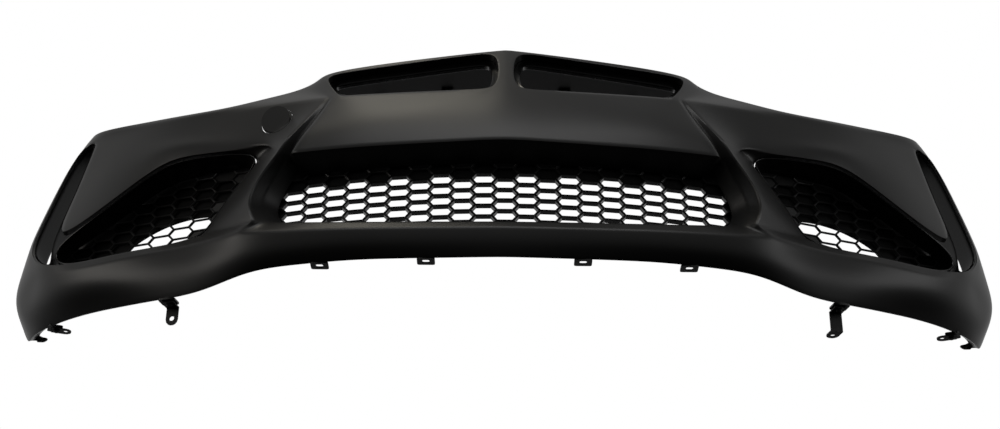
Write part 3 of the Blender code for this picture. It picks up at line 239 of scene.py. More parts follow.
# %% From lines to a cage
def smooth_through(knots, count):
    """Values at 0..count-1 of a monotone cubic through {index: value}; values may be vectors."""
    at = np.array(sorted(knots), float)
    value = np.array([np.atleast_1d(knots[int(k)]) for k in at], float)
    step = np.diff(at)[:, None]
    slope = np.diff(value, axis=0) / step
    tangent = np.zeros_like(value)
    same = slope[:-1] * slope[1:] > 0
    mean = 2 * slope[:-1] * slope[1:] / np.where(same, slope[:-1] + slope[1:], 1)
    tangent[1:-1] = np.where(same, mean, 0)
    tangent[0], tangent[-1] = slope[0], slope[-1]
    u = np.arange(count, dtype=float)
    k = np.clip(np.searchsorted(at, u, side="right") - 1, 0, len(at) - 2)
    t = ((u - at[k]) / (at[k + 1] - at[k]))[:, None]
    h = step[k]
    return ((2 * t**3 - 3 * t**2 + 1) * value[k] + (t**3 - 2 * t**2 + t) * h * tangent[k]
            + (3 * t**2 - 2 * t**3) * value[k + 1] + (t**3 - t**2) * h * tangent[k + 1])


def arch_y(z):
    """Rearward place of the wheel arch edge at height z: the front of a circle."""
    return ARCH_CENTRE[0] - math.sqrt(max(ARCH_RADIUS**2 - (z - ARCH_CENTRE[1]) ** 2, 0.0))


def cage():
    """The cage of the +X half, rows x columns x 3, stretched to the driving sizes."""
    grid = np.zeros((N_ROWS, COLUMNS, 3))
    for row, knots in LINES.items():
        drawn = {c: (x, arch_y(z) if y is None else y, z) for c, (x, y, z) in knots.items()}
        grid[row, :ARCH + 1] = smooth_through(drawn, ARCH + 1)
    grid[:, ARCH_IN] = grid[:, ARCH]
    for axis, (drawn, real) in enumerate(((DRAWN_X, REAL_X), (DRAWN_Y, REAL_Y), (DRAWN_Z, REAL_Z))):
        grid[..., axis] = np.interp(grid[..., axis], drawn, real)
    turn = np.radians(smooth_through(TURN, COLUMNS))
    inward = np.hstack([-np.sin(turn), np.cos(turn), np.zeros_like(turn)])
    grid[:, ARCH_IN] += ARCH_RETURN * inward[ARCH_IN]
    share = smooth_through(SHELF_SHARE, COLUMNS)
    depth = SEAM_FLANGE + share * (SHELF_DEPTH - SEAM_FLANGE)
    grid[SHELF_REAR] = grid[BROW] + depth * inward + share * np.array([0, 0, SHELF_RISE])
    climb = np.array([0, 0, math.sin(BOTTOM_RETURN_TILT)])
    grid[BOTTOM_IN] = grid[BOTTOM] + BOTTOM_RETURN * (inward * math.cos(BOTTOM_RETURN_TILT) + climb)
    return grid


GRID = cage()
print("cage of the half skin", GRID.shape)
PAD_TOP = GRID[BROW, CENTRE, 2] + SHELF_RISE + GAP + PAD[2]
PAD_Y = GRID[BROW, CENTRE, 1] + SHELF_DEPTH - 0.6 * PAD[1]
ORIGIN = np.array([0.0, PAD_Y, PAD_TOP])

# Edges of the openings, as (row, column) round each one.
UPPER_HOLE = ([(UPPER_TOP, c) for c in range(DIVIDER, UPPER_END + 1)]
              + [(UPPER_LOW, c) for c in range(UPPER_END, DIVIDER - 1, -1)])
CENTRE_EDGE = ([(LIP, c) for c in range(CENTRE, FLANK + 1)] + [(SIDE_A, FLANK), (SIDE_B, FLANK)]
               + [(SILL, c) for c in range(FLANK, CENTRE - 1, -1)])
SIDE_HOLE = ([(LIP, c) for c in range(INTAKE, SLOT_IN + 1)]
             + [(r, SLOT_IN) for r in (CHIN, CROWN, UPPER_LOW)]
             + [(r, SLOT_OUT) for r in range(UPPER_LOW, SILL)]
             + [(SILL, c) for c in range(SLOT_OUT, INTAKE - 1, -1)]
             + [(SIDE_B, INTAKE), (SIDE_A, INTAKE)])
TRIM_LOOP = ([(LIP, c) for c in range(INTAKE, SLOT_IN + 1)]
             + [(SILL, c) for c in range(SLOT_IN, INTAKE - 1, -1)]
             + [(SIDE_B, INTAKE), (SIDE_A, INTAKE)])
SLOT_LOOP = ([(r, SLOT_IN) for r in (LIP, CHIN, CROWN, UPPER_LOW)]
             + [(r, SLOT_OUT) for r in range(UPPER_LOW, SILL)]
             + [(SILL, SLOT_OUT), (SILL, SLOT_IN)])


def edge_points(edge):
    """The cage points along an edge given as (row, column) pairs."""
    return np.array([GRID[r, c] for r, c in edge])


def offset(points, amount, closed=True):
    """Points moved sideways in the XZ plane, by amount to the inside of a clockwise outline."""
    flat = points[:, [0, 2]]
    before, after = np.roll(flat, 1, axis=0), np.roll(flat, -1, axis=0)
    if not closed:
        before[0], after[-1] = 2 * flat[0] - flat[1], 2 * flat[-1] - flat[-2]
    unit_in = (flat - before) / np.linalg.norm(flat - before, axis=1)[:, None]
    unit_out = (after - flat) / np.linalg.norm(after - flat, axis=1)[:, None]
    normal = np.stack([unit_in[:, 1] + unit_out[:, 1], -unit_in[:, 0] - unit_out[:, 0]], axis=1)
    share = (normal**2).sum(axis=1) / 2
    moved = flat + amount * normal / np.maximum(share, 0.7)[:, None]
    return np.stack([moved[:, 0], points[:, 1], moved[:, 1]], axis=1)


def grille_y(x):
    """Front face of the centre grille at x, from the nose point."""
    return GRILLE_SET + GRILLE_BOW * x**2


def side_grille_y(x):
    """Front face of the side grille at x, from the nose point."""
    start, slope = SIDE_GRILLE_FRONT
    return start + slope * (x - 0.43)


# %% [markdown]
# ## Shader maths as expressions
# A material here is a sum of soft patterns. Written as nodes by hand that is long and hard to read, so one
# small class wraps a socket and lets Python's own operators add the Math nodes.


# %% A socket that can be added and multiplied
class Value:
    """A number that changes over a surface: the operators on it add Math nodes."""

    def __init__(self, tree, socket):
        self.tree, self.socket = tree, socket

    def math(self, operation, other=None, swap=False):
        node = self.tree.nodes.new("ShaderNodeMath")
        node.operation = operation
        for slot, term in zip(node.inputs, (other, self) if swap else (self, other)):
            if isinstance(term, Value):
                self.tree.links.new(term.socket, slot)
            elif term is not None:
                slot.default_value = term
        return Value(self.tree, node.outputs[0])

    def __add__(self, other):
        return self.math("ADD", other)

    def __rsub__(self, other):
        return self.math("SUBTRACT", other, swap=True)

    def __mul__(self, other):
        return self.math("MULTIPLY", other)

    def clamp(self):
        node = self.tree.nodes.new("ShaderNodeClamp")
        self.tree.links.new(self.socket, node.inputs["Value"])
        return Value(self.tree, node.outputs[0])

    __radd__ = __add__
    __rmul__ = __mul__


class Finish:
    """One material: its node tree, its Principled shader, and a method that adds any other node."""

    def __init__(self, name, colour, roughness, metallic=0.0, coat=0.0, coat_roughness=0.1, specular=0.5):
        self.material = bpy.data.materials.new(name)
        self.material.use_nodes = True
        self.tree = self.material.node_tree
        self.shader = self.tree.nodes["Principled BSDF"]
        self.set("Base Color", (*colour, 1))
        self.set("Roughness", roughness)
        self.set("Metallic", metallic)
        self.set("Coat Weight", coat)
        self.set("Coat Roughness", coat_roughness)
        self.set("Specular IOR Level", specular)
        self.place = self.node("ShaderNodeTexCoord").outputs["Object"]

    def node(self, kind, settings=(), **values):
        """A node of a kind: settings first, then its sockets by name, as numbers or as links."""
        made = self.tree.nodes.new(kind)
        for key, setting in dict(settings).items():
            setattr(made, key, setting)
        for key, value in values.items():
            self.feed(made.inputs[key.replace("_", " ")], value)
        return made

    def feed(self, socket, value):
        if isinstance(value, Value):
            value = value.socket
        if isinstance(value, bpy.types.NodeSocket):
            self.tree.links.new(value, socket)
        else:
            socket.default_value = value

    def set(self, name, value):
        self.feed(self.shader.inputs[name], value)

    def noise(self, scale, detail=2.0, stretch=(1, 1, 1)):
        """A soft pattern from 0 to 1 in Object coordinates: scale in bumps per metre."""
        spread = self.node("ShaderNodeMapping", Vector=self.place, Scale=stretch)
        made = self.node("ShaderNodeTexNoise", Vector=spread.outputs[0], Scale=scale, Detail=detail)
        return Value(self.tree, made.outputs[0])

    def mix(self, share, first, second):
        """A colour between two colours."""
        made = self.node("ShaderNodeMix", {"data_type": "RGBA"})
        self.feed(made.inputs[0], share)
        self.feed(made.inputs[6], (*first, 1) if isinstance(first, tuple) else first)
        self.feed(made.inputs[7], (*second, 1) if isinstance(second, tuple) else second)
        return made.outputs[2]

    def bump(self, height, distance, strength=1.0):
        made = self.node("ShaderNodeBump", Height=height, Distance=distance, Strength=strength)
        self.set("Normal", made.outputs[0])


# %% [markdown]
# ## The skin's plastic
# The cover is bare black plastic with a satin face: it comes out of a polished steel mould, waiting for
# primer. Its highlights are wide and soft, broken by faint flow marks and by the mould's slight waviness.

# %% Satin plastic of the skin
def satin_skin():
    finish = Finish("satin_black_skin", (0.020, 0.020, 0.0198), 0.34, specular=0.5)
    wide = finish.noise(3.5, 2, (1, 1.4, 2.2))
    fine = finish.noise(2600, 2)
    finish.set("Base Color", finish.mix(wide, (0.018, 0.018, 0.0178), (0.0235, 0.0233, 0.0228)))
    finish.set("Roughness", 0.33 + 0.07 * wide + 0.03 * fine)
    finish.bump(fine, 0.00002, 0.35)
    return finish.material


def gloss_black():
    """Semi-gloss black of the trims: a polished mould and a little dust."""
    finish = Finish("gloss_black_trim", (0.006, 0.006, 0.006), 0.22, specular=0.5)
    dust = finish.noise(60, 4)
    finish.set("Roughness", 0.18 + 0.14 * dust)
    finish.set("Base Color", finish.mix(dust, (0.005, 0.005, 0.005), (0.009, 0.009, 0.009)))
    return finish.material


def grille_black():
    """Black honeycomb plastic: rounder, a touch rougher than the trims."""
    finish = Finish("honeycomb_black", (0.012, 0.012, 0.012), 0.34, specular=0.5)
    grain = finish.noise(900, 3)
    finish.set("Roughness", 0.28 + 0.14 * grain)
    finish.bump(grain, 0.00004, 0.4)
    return finish.material


def duct_black():
    """Matte grained plastic of the hidden ducts and of the blanking panels."""
    finish = Finish("duct_black", (0.005, 0.005, 0.005), 0.7, specular=0.12)
    grain = finish.noise(1400, 3)
    finish.set("Roughness", 0.55 + 0.15 * grain)
    finish.bump(grain, 0.00006, 0.6)
    return finish.material


def coated_steel():
    """Thin black powder coat on pressed steel: slightly rough, with the orange-peel waves of the coat."""
    finish = Finish("black_coated_steel", (0.014, 0.014, 0.014), 0.5, specular=0.5)
    peel = finish.noise(420, 2)
    finish.set("Base Color", finish.mix(peel, (0.011, 0.011, 0.011), (0.018, 0.018, 0.018)))
    finish.set("Roughness", 0.42 + 0.16 * peel)
    finish.bump(peel, 0.00006, 0.5)
    return finish.material


def pad_rubber():
    finish = Finish("pad_rubber", (0.02, 0.02, 0.02), 0.8, specular=0.3)
    grain = finish.noise(800, 2)
    finish.set("Roughness", 0.72 + 0.15 * grain)
    finish.bump(grain, 0.00008, 0.5)
    return finish.material


SKIN_PLASTIC = satin_skin()
GLOSS_BLACK = gloss_black()
HONEYCOMB_BLACK = grille_black()
DUCT_BLACK = duct_black()
COATED_STEEL = coated_steel()
PAD_RUBBER = pad_rubber()
FINISHES = (SKIN_PLASTIC, GLOSS_BLACK, HONEYCOMB_BLACK, DUCT_BLACK, COATED_STEEL, PAD_RUBBER)
print("finishes", [finish.name for finish in FINISHES])

# %% [markdown]
# ## From arrays to a mesh
# A piece is a grid of points: a function of a row and a column. Whole arrays of vertex numbers give its
# quads. Subdivision rounds the coarse cage, its creases keep the styling edges crisp, and Solidify gives the
# wall. The result is settled into one plain mesh, so that its place is in its points.


# %% Helpers for surfaces
def quads_of_grid(index, kept):
    """Quads of a grid of vertex numbers, facing forward, where the kept mask is true."""
    quads = np.stack([index[:-1, :-1], index[1:, :-1], index[1:, 1:], index[:-1, 1:]], axis=-1)
    return quads[kept]


def quads_of_band(loops, closed=True):
    """Quads between rows of vertex numbers that run round an opening, facing into the opening."""
    after = np.roll(loops, -1, axis=1)
    quads = np.stack([after[:-1], loops[:-1], loops[1:], after[1:]], axis=-1)
    return (quads if closed else quads[:, :-1]).reshape(-1, 4)


def pairs_of_loop(loops, closed=True):
    """The edges that run along rows of vertex numbers, as pairs."""
    pairs = np.stack([loops, np.roll(loops, -1, axis=1)], axis=-1)
    return (pairs if closed else pairs[:, :-1]).reshape(-1, 2)


def key_of_pairs(pairs, count):
    """One number for each pair of vertex numbers, the same in either order."""
    return pairs.min(axis=1) * count + pairs.max(axis=1)


def cage_object(name, points, quads, pairs, weights):
    """An object from drawn points, quads, and the crease weight of each pair of vertex numbers."""
    used, flat = np.unique(quads, return_inverse=True)
    renumber = np.full(len(points), -1)
    renumber[used] = np.arange(len(used))
    mesh = bpy.data.meshes.new(name)
    mesh.from_pydata((points[used] - ORIGIN).tolist(), [], flat.reshape(-1, 4).tolist())
    edges = np.zeros(len(mesh.edges) * 2, int)
    mesh.edges.foreach_get("vertices", edges)
    keys = key_of_pairs(edges.reshape(-1, 2), len(points))
    pairs = renumber[pairs]
    known = (pairs >= 0).all(axis=1)
    given = key_of_pairs(pairs[known], len(points))
    sharp = np.asarray(weights, float)[known]
    order = np.lexsort((-sharp, given))
    given, sharp = given[order], sharp[order]
    spot = np.clip(np.searchsorted(given, keys), 0, len(given) - 1)
    crease = mesh.attributes.new("crease_edge", "FLOAT", "EDGE")
    crease.data.foreach_set("value", np.where(given[spot] == keys, sharp[spot], 0.0).astype(np.float32))
    piece = bpy.data.objects.new(name, mesh)
    bpy.context.scene.collection.objects.link(piece)
    return piece


def settle(piece, finish, angle=35):
    """Turns a piece's modifiers into its mesh, shaded smooth up to an angle in degrees."""
    bpy.context.view_layer.update()
    ready = piece.evaluated_get(bpy.context.evaluated_depsgraph_get())
    mesh = bpy.data.meshes.new_from_object(ready)
    piece.modifiers.clear()
    piece.data = mesh
    mesh.materials.clear()
    mesh.materials.append(finish)
    mesh.shade_smooth()
    mesh.set_sharp_from_angle(angle=math.radians(angle))
    return piece


def subdivide(piece, levels):
    smooth = piece.modifiers.new("Smooth form", "SUBSURF")
    smooth.levels = smooth.render_levels = levels


def thicken(piece, wall, side):
    """A wall: side -1 puts it behind the faces, side 1 in front of them."""
    shell = piece.modifiers.new("Wall", "SOLIDIFY")
    shell.thickness, shell.offset = wall, side


def round_edges(piece, width, segments=2, angle=40):
    bevel = piece.modifiers.new("Rounded edges", "BEVEL")
    bevel.width, bevel.segments = width, segments
    bevel.limit_method, bevel.angle_limit = "ANGLE", math.radians(angle)


def boolean(piece, tool, operation):
    cut = piece.modifiers.new(operation.title(), "BOOLEAN")
    cut.object, cut.operation = tool, operation


def discard(*tools):
    for tool in tools:
        bpy.data.objects.remove(tool, do_unlink=True)


def other_side(piece, name):
    """A copy mirrored over the centre plane, its faces turned back to point out."""
    mesh = piece.data.copy()
    mesh.transform(Matrix.Diagonal((-1, 1, 1, 1)))
    mesh.flip_normals()
    twin = bpy.data.objects.new(name, mesh)
    bpy.context.scene.collection.objects.link(twin)
    return twin


def report(piece):
    triangles = sum(len(p.vertices) - 2 for p in piece.data.polygons)
    print(piece.name, triangles, "triangles", [round(v, 3) for v in piece.dimensions])


# %% [markdown]
# ## The skin
# One moulding makes the nose, the corners, the sills and the walls of every opening. The cage keeps a face
# between four neighbouring points unless an opening is there, and a wall runs back from each opening's edge.
# Crease weights along the brow, the lips and the ridges hold the styling lines that light picks out.

# %% Creases and openings of the skin
SKIN_ANGLE = 38  # degrees past which an edge of the skin stays sharp
LIP_CREASE = 0.85  # along the front edges of the openings
WALL_CREASE = 0.9  # along the rear edges of their walls
# How sharp the cage edges are that run along a row, with the columns they cover, and down a column.
ROW_CREASES = {BROW: (0.5, CENTRE, ARCH), LIP: (0.85, CENTRE, SLOT_IN), SILL: (0.85, CENTRE, SLOT_OUT),
               UPPER_LOW: (0.8, UPPER_END, STRIP), SILL_RIDGE: (0.9, CENTRE, SLOT_OUT),
               BOTTOM: (0.9, CENTRE, ARCH)}
COLUMN_CREASES = {NOSE: (0.85, UPPER_LOW, LIP), FLANK: (0.6, UPPER_LOW, SILL),
                  RIDGE: (0.95, UPPER_LOW, SILL_RIDGE), INTAKE: (0.6, LIP, SILL),
                  SLOT_IN: (0.5, UPPER_LOW, LIP), SLOT_OUT: (0.8, UPPER_LOW, SILL),
                  RIM: (0.5, UPPER_LOW, SILL), ARCH: (0.9, BROW, BOTTOM)}


def open_faces():
    """The cage faces that are left out: true below a row and outside a column of an opening."""
    gone = np.zeros((N_ROWS - 1, COLUMNS - 1), bool)
    gone[UPPER_TOP, DIVIDER:UPPER_END] = True
    gone[LIP:SILL, :FLANK] = True
    gone[LIP:SILL, INTAKE:SLOT_OUT] = True
    gone[UPPER_LOW:LIP, SLOT_IN] = True
    return gone


def tunnel_rear(points):
    """The rear edge of the centre tunnel: narrower by the draft, on the grille's curve."""
    ends, roof = TUNNEL_DRAFT
    rear = offset(points, roof, closed=False)
    rear[:, 0] *= 1 - (ends - roof) / rear[:, 0].max()
    rear[[0, -1], 0] = 0.0
    rear[:, 1] = grille_y(rear[:, 0])
    return rear

# %% The half skin, its walls and its mirror image
def skin_creases():
    """Vertex pairs and weights of the creases along the rows and down the columns."""
    index = np.arange(N_ROWS * COLUMNS).reshape(N_ROWS, COLUMNS)
    lines = [(index[r, a:b + 1], w) for r, (w, a, b) in ROW_CREASES.items()]
    lines += [(index[a:b + 1, c], w) for c, (w, a, b) in COLUMN_CREASES.items()]
    pairs = [np.stack([line[:-1], line[1:]], axis=-1) for line, w in lines]
    return np.vstack(pairs), np.concatenate([np.full(len(p), w) for p, (line, w) in zip(pairs, lines)])


def half_skin():
    """Points, quads and creases of the +X half: the cage without its openings, and the openings' walls."""
    index = np.arange(N_ROWS * COLUMNS).reshape(N_ROWS, COLUMNS)
    points, quads = [GRID.reshape(-1, 3)], [quads_of_grid(index, ~open_faces())]
    pairs, weights = (list(part) for part in zip(skin_creases()))
    rear = tunnel_rear(edge_points(CENTRE_EDGE))
    land = offset(rear, -LAND, closed=False)
    land[[0, -1], 0] = 0.0
    land[:, 1] = grille_y(land[:, 0])
    back = np.array([0, 1, 0])
    walls = ((UPPER_HOLE, [edge_points(UPPER_HOLE) + UPPER_WALL * back], True),
             (CENTRE_EDGE, [rear, land], False),
             (SIDE_HOLE, [edge_points(SIDE_HOLE) + SIDE_WALL * back], True))
    for edge, rings, closed in walls:
        start = sum(map(len, points))
        loops = [index[tuple(np.array(edge).T)]]
        loops += [start + k * len(edge) + np.arange(len(edge)) for k in range(len(rings))]
        points += rings
        quads.append(quads_of_band(np.array(loops), closed))
        for rims, weight in ((loops[:1], LIP_CREASE), (loops[1:], WALL_CREASE)):
            pairs.append(pairs_of_loop(np.array(rims), closed))
            weights.append(np.full(len(pairs[-1]), weight))
    return np.vstack(points), np.vstack(quads), np.vstack(pairs), np.concatenate(weights)


def make_skin(levels=3):
    """Both halves: the second is the first with x turned over, welded where x is zero."""
    points, quads, pairs, weights = half_skin()
    count = len(points)
    twin = np.where(np.abs(points[:, 0]) < 1e-7, np.arange(count), np.arange(count) + count)
    skin = cage_object("bumper_skin_surface", np.vstack([points, points * [-1, 1, 1]]),
                       np.vstack([quads, twin[quads][:, ::-1]]), np.vstack([pairs, twin[pairs]]),
                       np.concatenate([weights, weights]))
    subdivide(skin, levels)
    thicken(skin, SKIN, -1)
    return settle(skin, SKIN_PLASTIC, SKIN_ANGLE)


skin = make_skin()
report(skin)

# %% [markdown]
# ## Tabs, slots and the cap's hole
# Small tabs carry the undertray along the lower edge, and a round hole in the right side gives way to the
# tow eye. On the real part they belong to the moulding, so they are united with the skin, or cut from it.


# %% Outlines carried straight through
def rounded_outline(width, length, corner, per_corner=5):
    """A rectangle from (0, 0) to length along +Y, its corners quarter circles of the corner radius."""
    turn = np.radians(np.linspace(0, 90, per_corner))
    arc = corner * np.stack([np.cos(turn), np.sin(turn)], axis=-1)
    spot = np.array([[width / 2, length], [-width / 2, length], [-width / 2, 0], [width / 2, 0]])
    inset = np.array([[-1, -1], [1, -1], [1, 1], [-1, 1]]) * corner
    spin = [np.linalg.matrix_power(np.array([[0, -1], [1, 0]]), k) for k in range(4)]
    return np.vstack([arc @ spin[k].T + spot[k] + inset[k] for k in range(4)])


def circle_outline(radius, centre=(0, 0), count=48):
    turn = np.linspace(0, 2 * np.pi, count, endpoint=False)
    return np.stack([np.cos(turn), np.sin(turn)], axis=-1) * radius + centre


def prism(outline, low, high):
    """Points and faces of a solid: an outline in the XY plane carried from low to high along Z."""
    count = len(outline)
    ring = np.arange(count)
    points = np.vstack([np.column_stack([outline, np.full(count, z)]) for z in (low, high)])
    sides = np.stack([ring, np.roll(ring, -1), np.roll(ring, -1) + count, ring + count], axis=-1)
    return points, sides.tolist() + [ring[::-1].tolist(), (ring + count).tolist()]


def joined(name, solids):
    """One object from several (points, faces) solids that are already in place."""
    points, faces, start = [], [], 0
    for part_points, part_faces in solids:
        points.append(part_points)
        faces += [[start + v for v in face] for face in part_faces]
        start += len(part_points)
    mesh = bpy.data.meshes.new(name)
    mesh.from_pydata(np.vstack(points).tolist(), [], faces)
    piece = bpy.data.objects.new(name, mesh)
    bpy.context.scene.collection.objects.link(piece)
    return piece


# %% Places along the lower edge and on the cap's axis
def on_lower_edge(points, x, side):
    """Points of a tab drawn at the origin, turned to the lower edge at distance x from the centre."""
    row = GRID[BOTTOM, :ARCH + 1]
    place = np.array([side * x, np.interp(x, row[:, 0], row[:, 1]), np.interp(x, row[:, 0], row[:, 2])])
    turn = math.radians(side * np.interp(x, row[:, 0], smooth_through(TURN, COLUMNS)[:ARCH + 1, 0]))
    spin = np.array([[math.cos(turn), -math.sin(turn), 0], [math.sin(turn), math.cos(turn), 0], [0, 0, 1]])
    return points @ spin.T + place - ORIGIN


CAP_AXIS = np.array([math.sin(CAP_SWING), -math.cos(CAP_SWING), 0])
cap_low, cap_high = (np.array(v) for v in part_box("tow_eye_cap"))
CAP_MIDDLE = (cap_low + cap_high) / 2


def along_cap_axis(points):
    """Points drawn round +Z, laid on the cap's own axis, which points out of the skin."""
    across = np.cross([0, 0, 1], CAP_AXIS)
    up = np.cross(CAP_AXIS, across)
    return points @ np.array([across, up, CAP_AXIS]) + CAP_MIDDLE


# %% Cut and join the skin
def cap_prism(radius, low, high):
    points, faces = prism(circle_outline(radius, count=96), low, high)
    return along_cap_axis(points), faces


def lower_edge_solids(outline, low, high, places):
    solids = []
    for side in (-1, 1):
        for x in places:
            points, faces = prism(outline, low, high)
            solids.append((on_lower_edge(points, x, side), faces))
    return solids


width, length, thick = TAB
tabs = joined("tabs", lower_edge_solids(rounded_outline(width, length + SKIN / 3, TAB_CORNER), 0, thick,
                                        TAB_PLACES + BRACKET_PLACES))
slot_outline = rounded_outline(*TAB_SLOT, SLOT_CORNER) + np.array([0, SLOT_BACK - TAB_SLOT[1] / 2])
hole_outline = circle_outline(SCREW_HOLE, (0, SCREW_BACK), 24)
holes = joined("holes", lower_edge_solids(slot_outline, -SLOT_REACH, SLOT_REACH, TAB_PLACES)
               + lower_edge_solids(hole_outline, -HOLE_REACH, HOLE_REACH, BRACKET_PLACES)
               + [cap_prism(CAP_RADIUS + CAP_GAP, -CAP_REACH, CAP_REACH)])
cap = bpy.data.objects.new("tow_eye_cap_surface", skin.data.copy())
bpy.context.scene.collection.objects.link(cap)
boolean(skin, tabs, "UNION")
boolean(skin, holes, "DIFFERENCE")
settle(skin, SKIN_PLASTIC, SKIN_ANGLE)
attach(skin, "cover")
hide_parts("bumper_skin")
report(skin)

disc = joined("disc", [cap_prism(CAP_RADIUS, -CAP_REACH, CAP_REACH)])
boolean(cap, disc, "INTERSECT")
settle(cap, SKIN_PLASTIC, SKIN_ANGLE)
report(cap)
cap_front = max(float(np.dot(np.array(v.co) - CAP_MIDDLE, CAP_AXIS)) for v in cap.data.vertices)
boss = joined("boss", [cap_prism(CAP_BOSS[0], cap_front - SKIN - CAP_BOSS[1], cap_front - SKIN)])
boolean(cap, boss, "UNION")
settle(cap, SKIN_PLASTIC, SKIN_ANGLE)
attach(cap, "cap")
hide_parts("tow_eye_cap")
report(cap)
discard(tabs, holes, disc, boss)

# %% [markdown]
# ## Trims, ducts and seats
# Behind each opening sits a ring of its own: a glossy funnel that leads to the side grille, a duct that
# carries air out to the wheel arch, and a narrow seat for the car's upper grille. Each is a band through two
# or three loops, which are the edge of its opening moved in by a clearance.


# %% Rings behind the openings
def ring(name, stations, wall, side, finish, levels=3, rounding=0.0007):
    """A band through loops of points, one station after the other, with a wall and rounded rims."""
    loops = np.arange(sum(map(len, stations))).reshape(len(stations), -1)
    pairs = pairs_of_loop(loops)
    piece = cage_object(name, np.vstack(stations), quads_of_band(loops), pairs,
                        np.full(len(pairs), WALL_CREASE))
    subdivide(piece, levels)
    thicken(piece, wall, side)
    round_edges(piece, rounding)
    return settle(piece, finish)


def intake_trim():
    """The opening's edge moved in, carried back to the grille plane, and stepped in there."""
    outer = offset(edge_points(TRIM_LOOP), TRIM_CLEARANCE)
    middle = outer + np.array([0, SIDE_WALL + TRIM_STRAIGHT, 0])
    rear = offset(outer, TRIM_STEP)
    rear[:, 1] = side_grille_y(rear[:, 0]) - GAP
    return ring("left_intake_trim_surface", [outer + np.array([0, TRIM_SETBACK, 0]), middle, rear],
                TRIM_WALL, 1, GLOSS_BLACK)


def curtain_duct():
    outer = offset(edge_points(SLOT_LOOP), TRIM_CLEARANCE)
    stations = [outer + np.array([0, TRIM_SETBACK + depth, 0]) for depth in (0, DUCT_LENGTH)]
    return ring("left_air_curtain_duct_surface", stations, TRIM_WALL, 1, DUCT_BLACK)


def upper_seat():
    edge = edge_points(UPPER_HOLE)
    back = np.array([0, UPPER_WALL + LAND_GAP, 0])
    inner = offset(edge, SEAT_WIDTH) + back
    stations = [offset(edge, -SKIN) + back, inner, inner + np.array([0, SEAT_DEPTH, 0])]
    return ring("left_upper_seat_surface", stations, TRIM_WALL, -1, GLOSS_BLACK)


def both_sides(piece, node):
    """Gives a piece its twin on the right side, and stands the two for their CAD nodes."""
    twin = other_side(piece, piece.name.replace("left_", "right_"))
    for made, name in ((piece, "left_" + node), (twin, "right_" + node)):
        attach(made, "cover")
        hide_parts(name)
    report(piece)


both_sides(intake_trim(), "intake_trim")
both_sides(curtain_duct(), "air_curtain_duct")
both_sides(upper_seat(), "upper_seat")

# %% [markdown]
# ## Honeycomb grilles
# A moulded honeycomb is one lattice of long hexagons. One cell is a stack of hexagonal rings: the crest that
# it shares with its neighbours, a chamfer down to the hole, the hole's wall, and the crest at the back. All
# cells come from that one stack by adding their centres. Cells that would touch the frame stay blind pockets,
# as the mould has them, and an outline trims the lattice to its frame.

# %% Cells of a honeycomb
TILE = np.array([[-0.625, 0], [-0.375, 0.5], [0.375, 0.5], [0.625, 0], [0.375, -0.5], [-0.375, -0.5]])
CHAMFER = 0.0011
POCKET_SHARE = 0.5  # depth of a blind pocket, as a share of the lattice
SPARE = 0.01  # how far the cutting prism stands past the lattice
FACET_ANGLE = 30  # degrees past which an edge of the lattice stays sharp


def hole_outline_of(pitch, wall):
    """The long hexagon of a hole: the tile drawn in by half the wall."""
    point = 0.25 * pitch[0]
    half_flat = (pitch[0] - point) / 2 - 0.35 * wall
    half_tall = (pitch[1] - wall) / 2
    half_long = half_flat + point * (1 - wall / pitch[1]) - 0.1 * wall
    return np.array([[-half_long, 0], [-half_flat, half_tall], [half_flat, half_tall],
                     [half_long, 0], [half_flat, -half_tall], [-half_flat, -half_tall]])


def distance_inside(points, outline):
    """How far points are inside a closed outline, negative outside."""
    a, b = outline, np.roll(outline, -1, axis=0)
    span = b - a
    reach = points[:, None] - a
    along = np.clip((reach * span).sum(-1) / (span**2).sum(-1), 0, 1)
    nearest = np.linalg.norm(reach - along[..., None] * span, axis=-1).min(axis=1)
    crosses = (a[:, 1] > points[:, None, 1]) != (b[:, 1] > points[:, None, 1])
    height = np.where(span[:, 1] == 0, 1, span[:, 1])
    passed = points[:, None, 0] < a[:, 0] + reach[..., 1] * span[:, 0] / height
    return np.where((crosses & passed).sum(axis=1) % 2 == 1, nearest, -nearest)


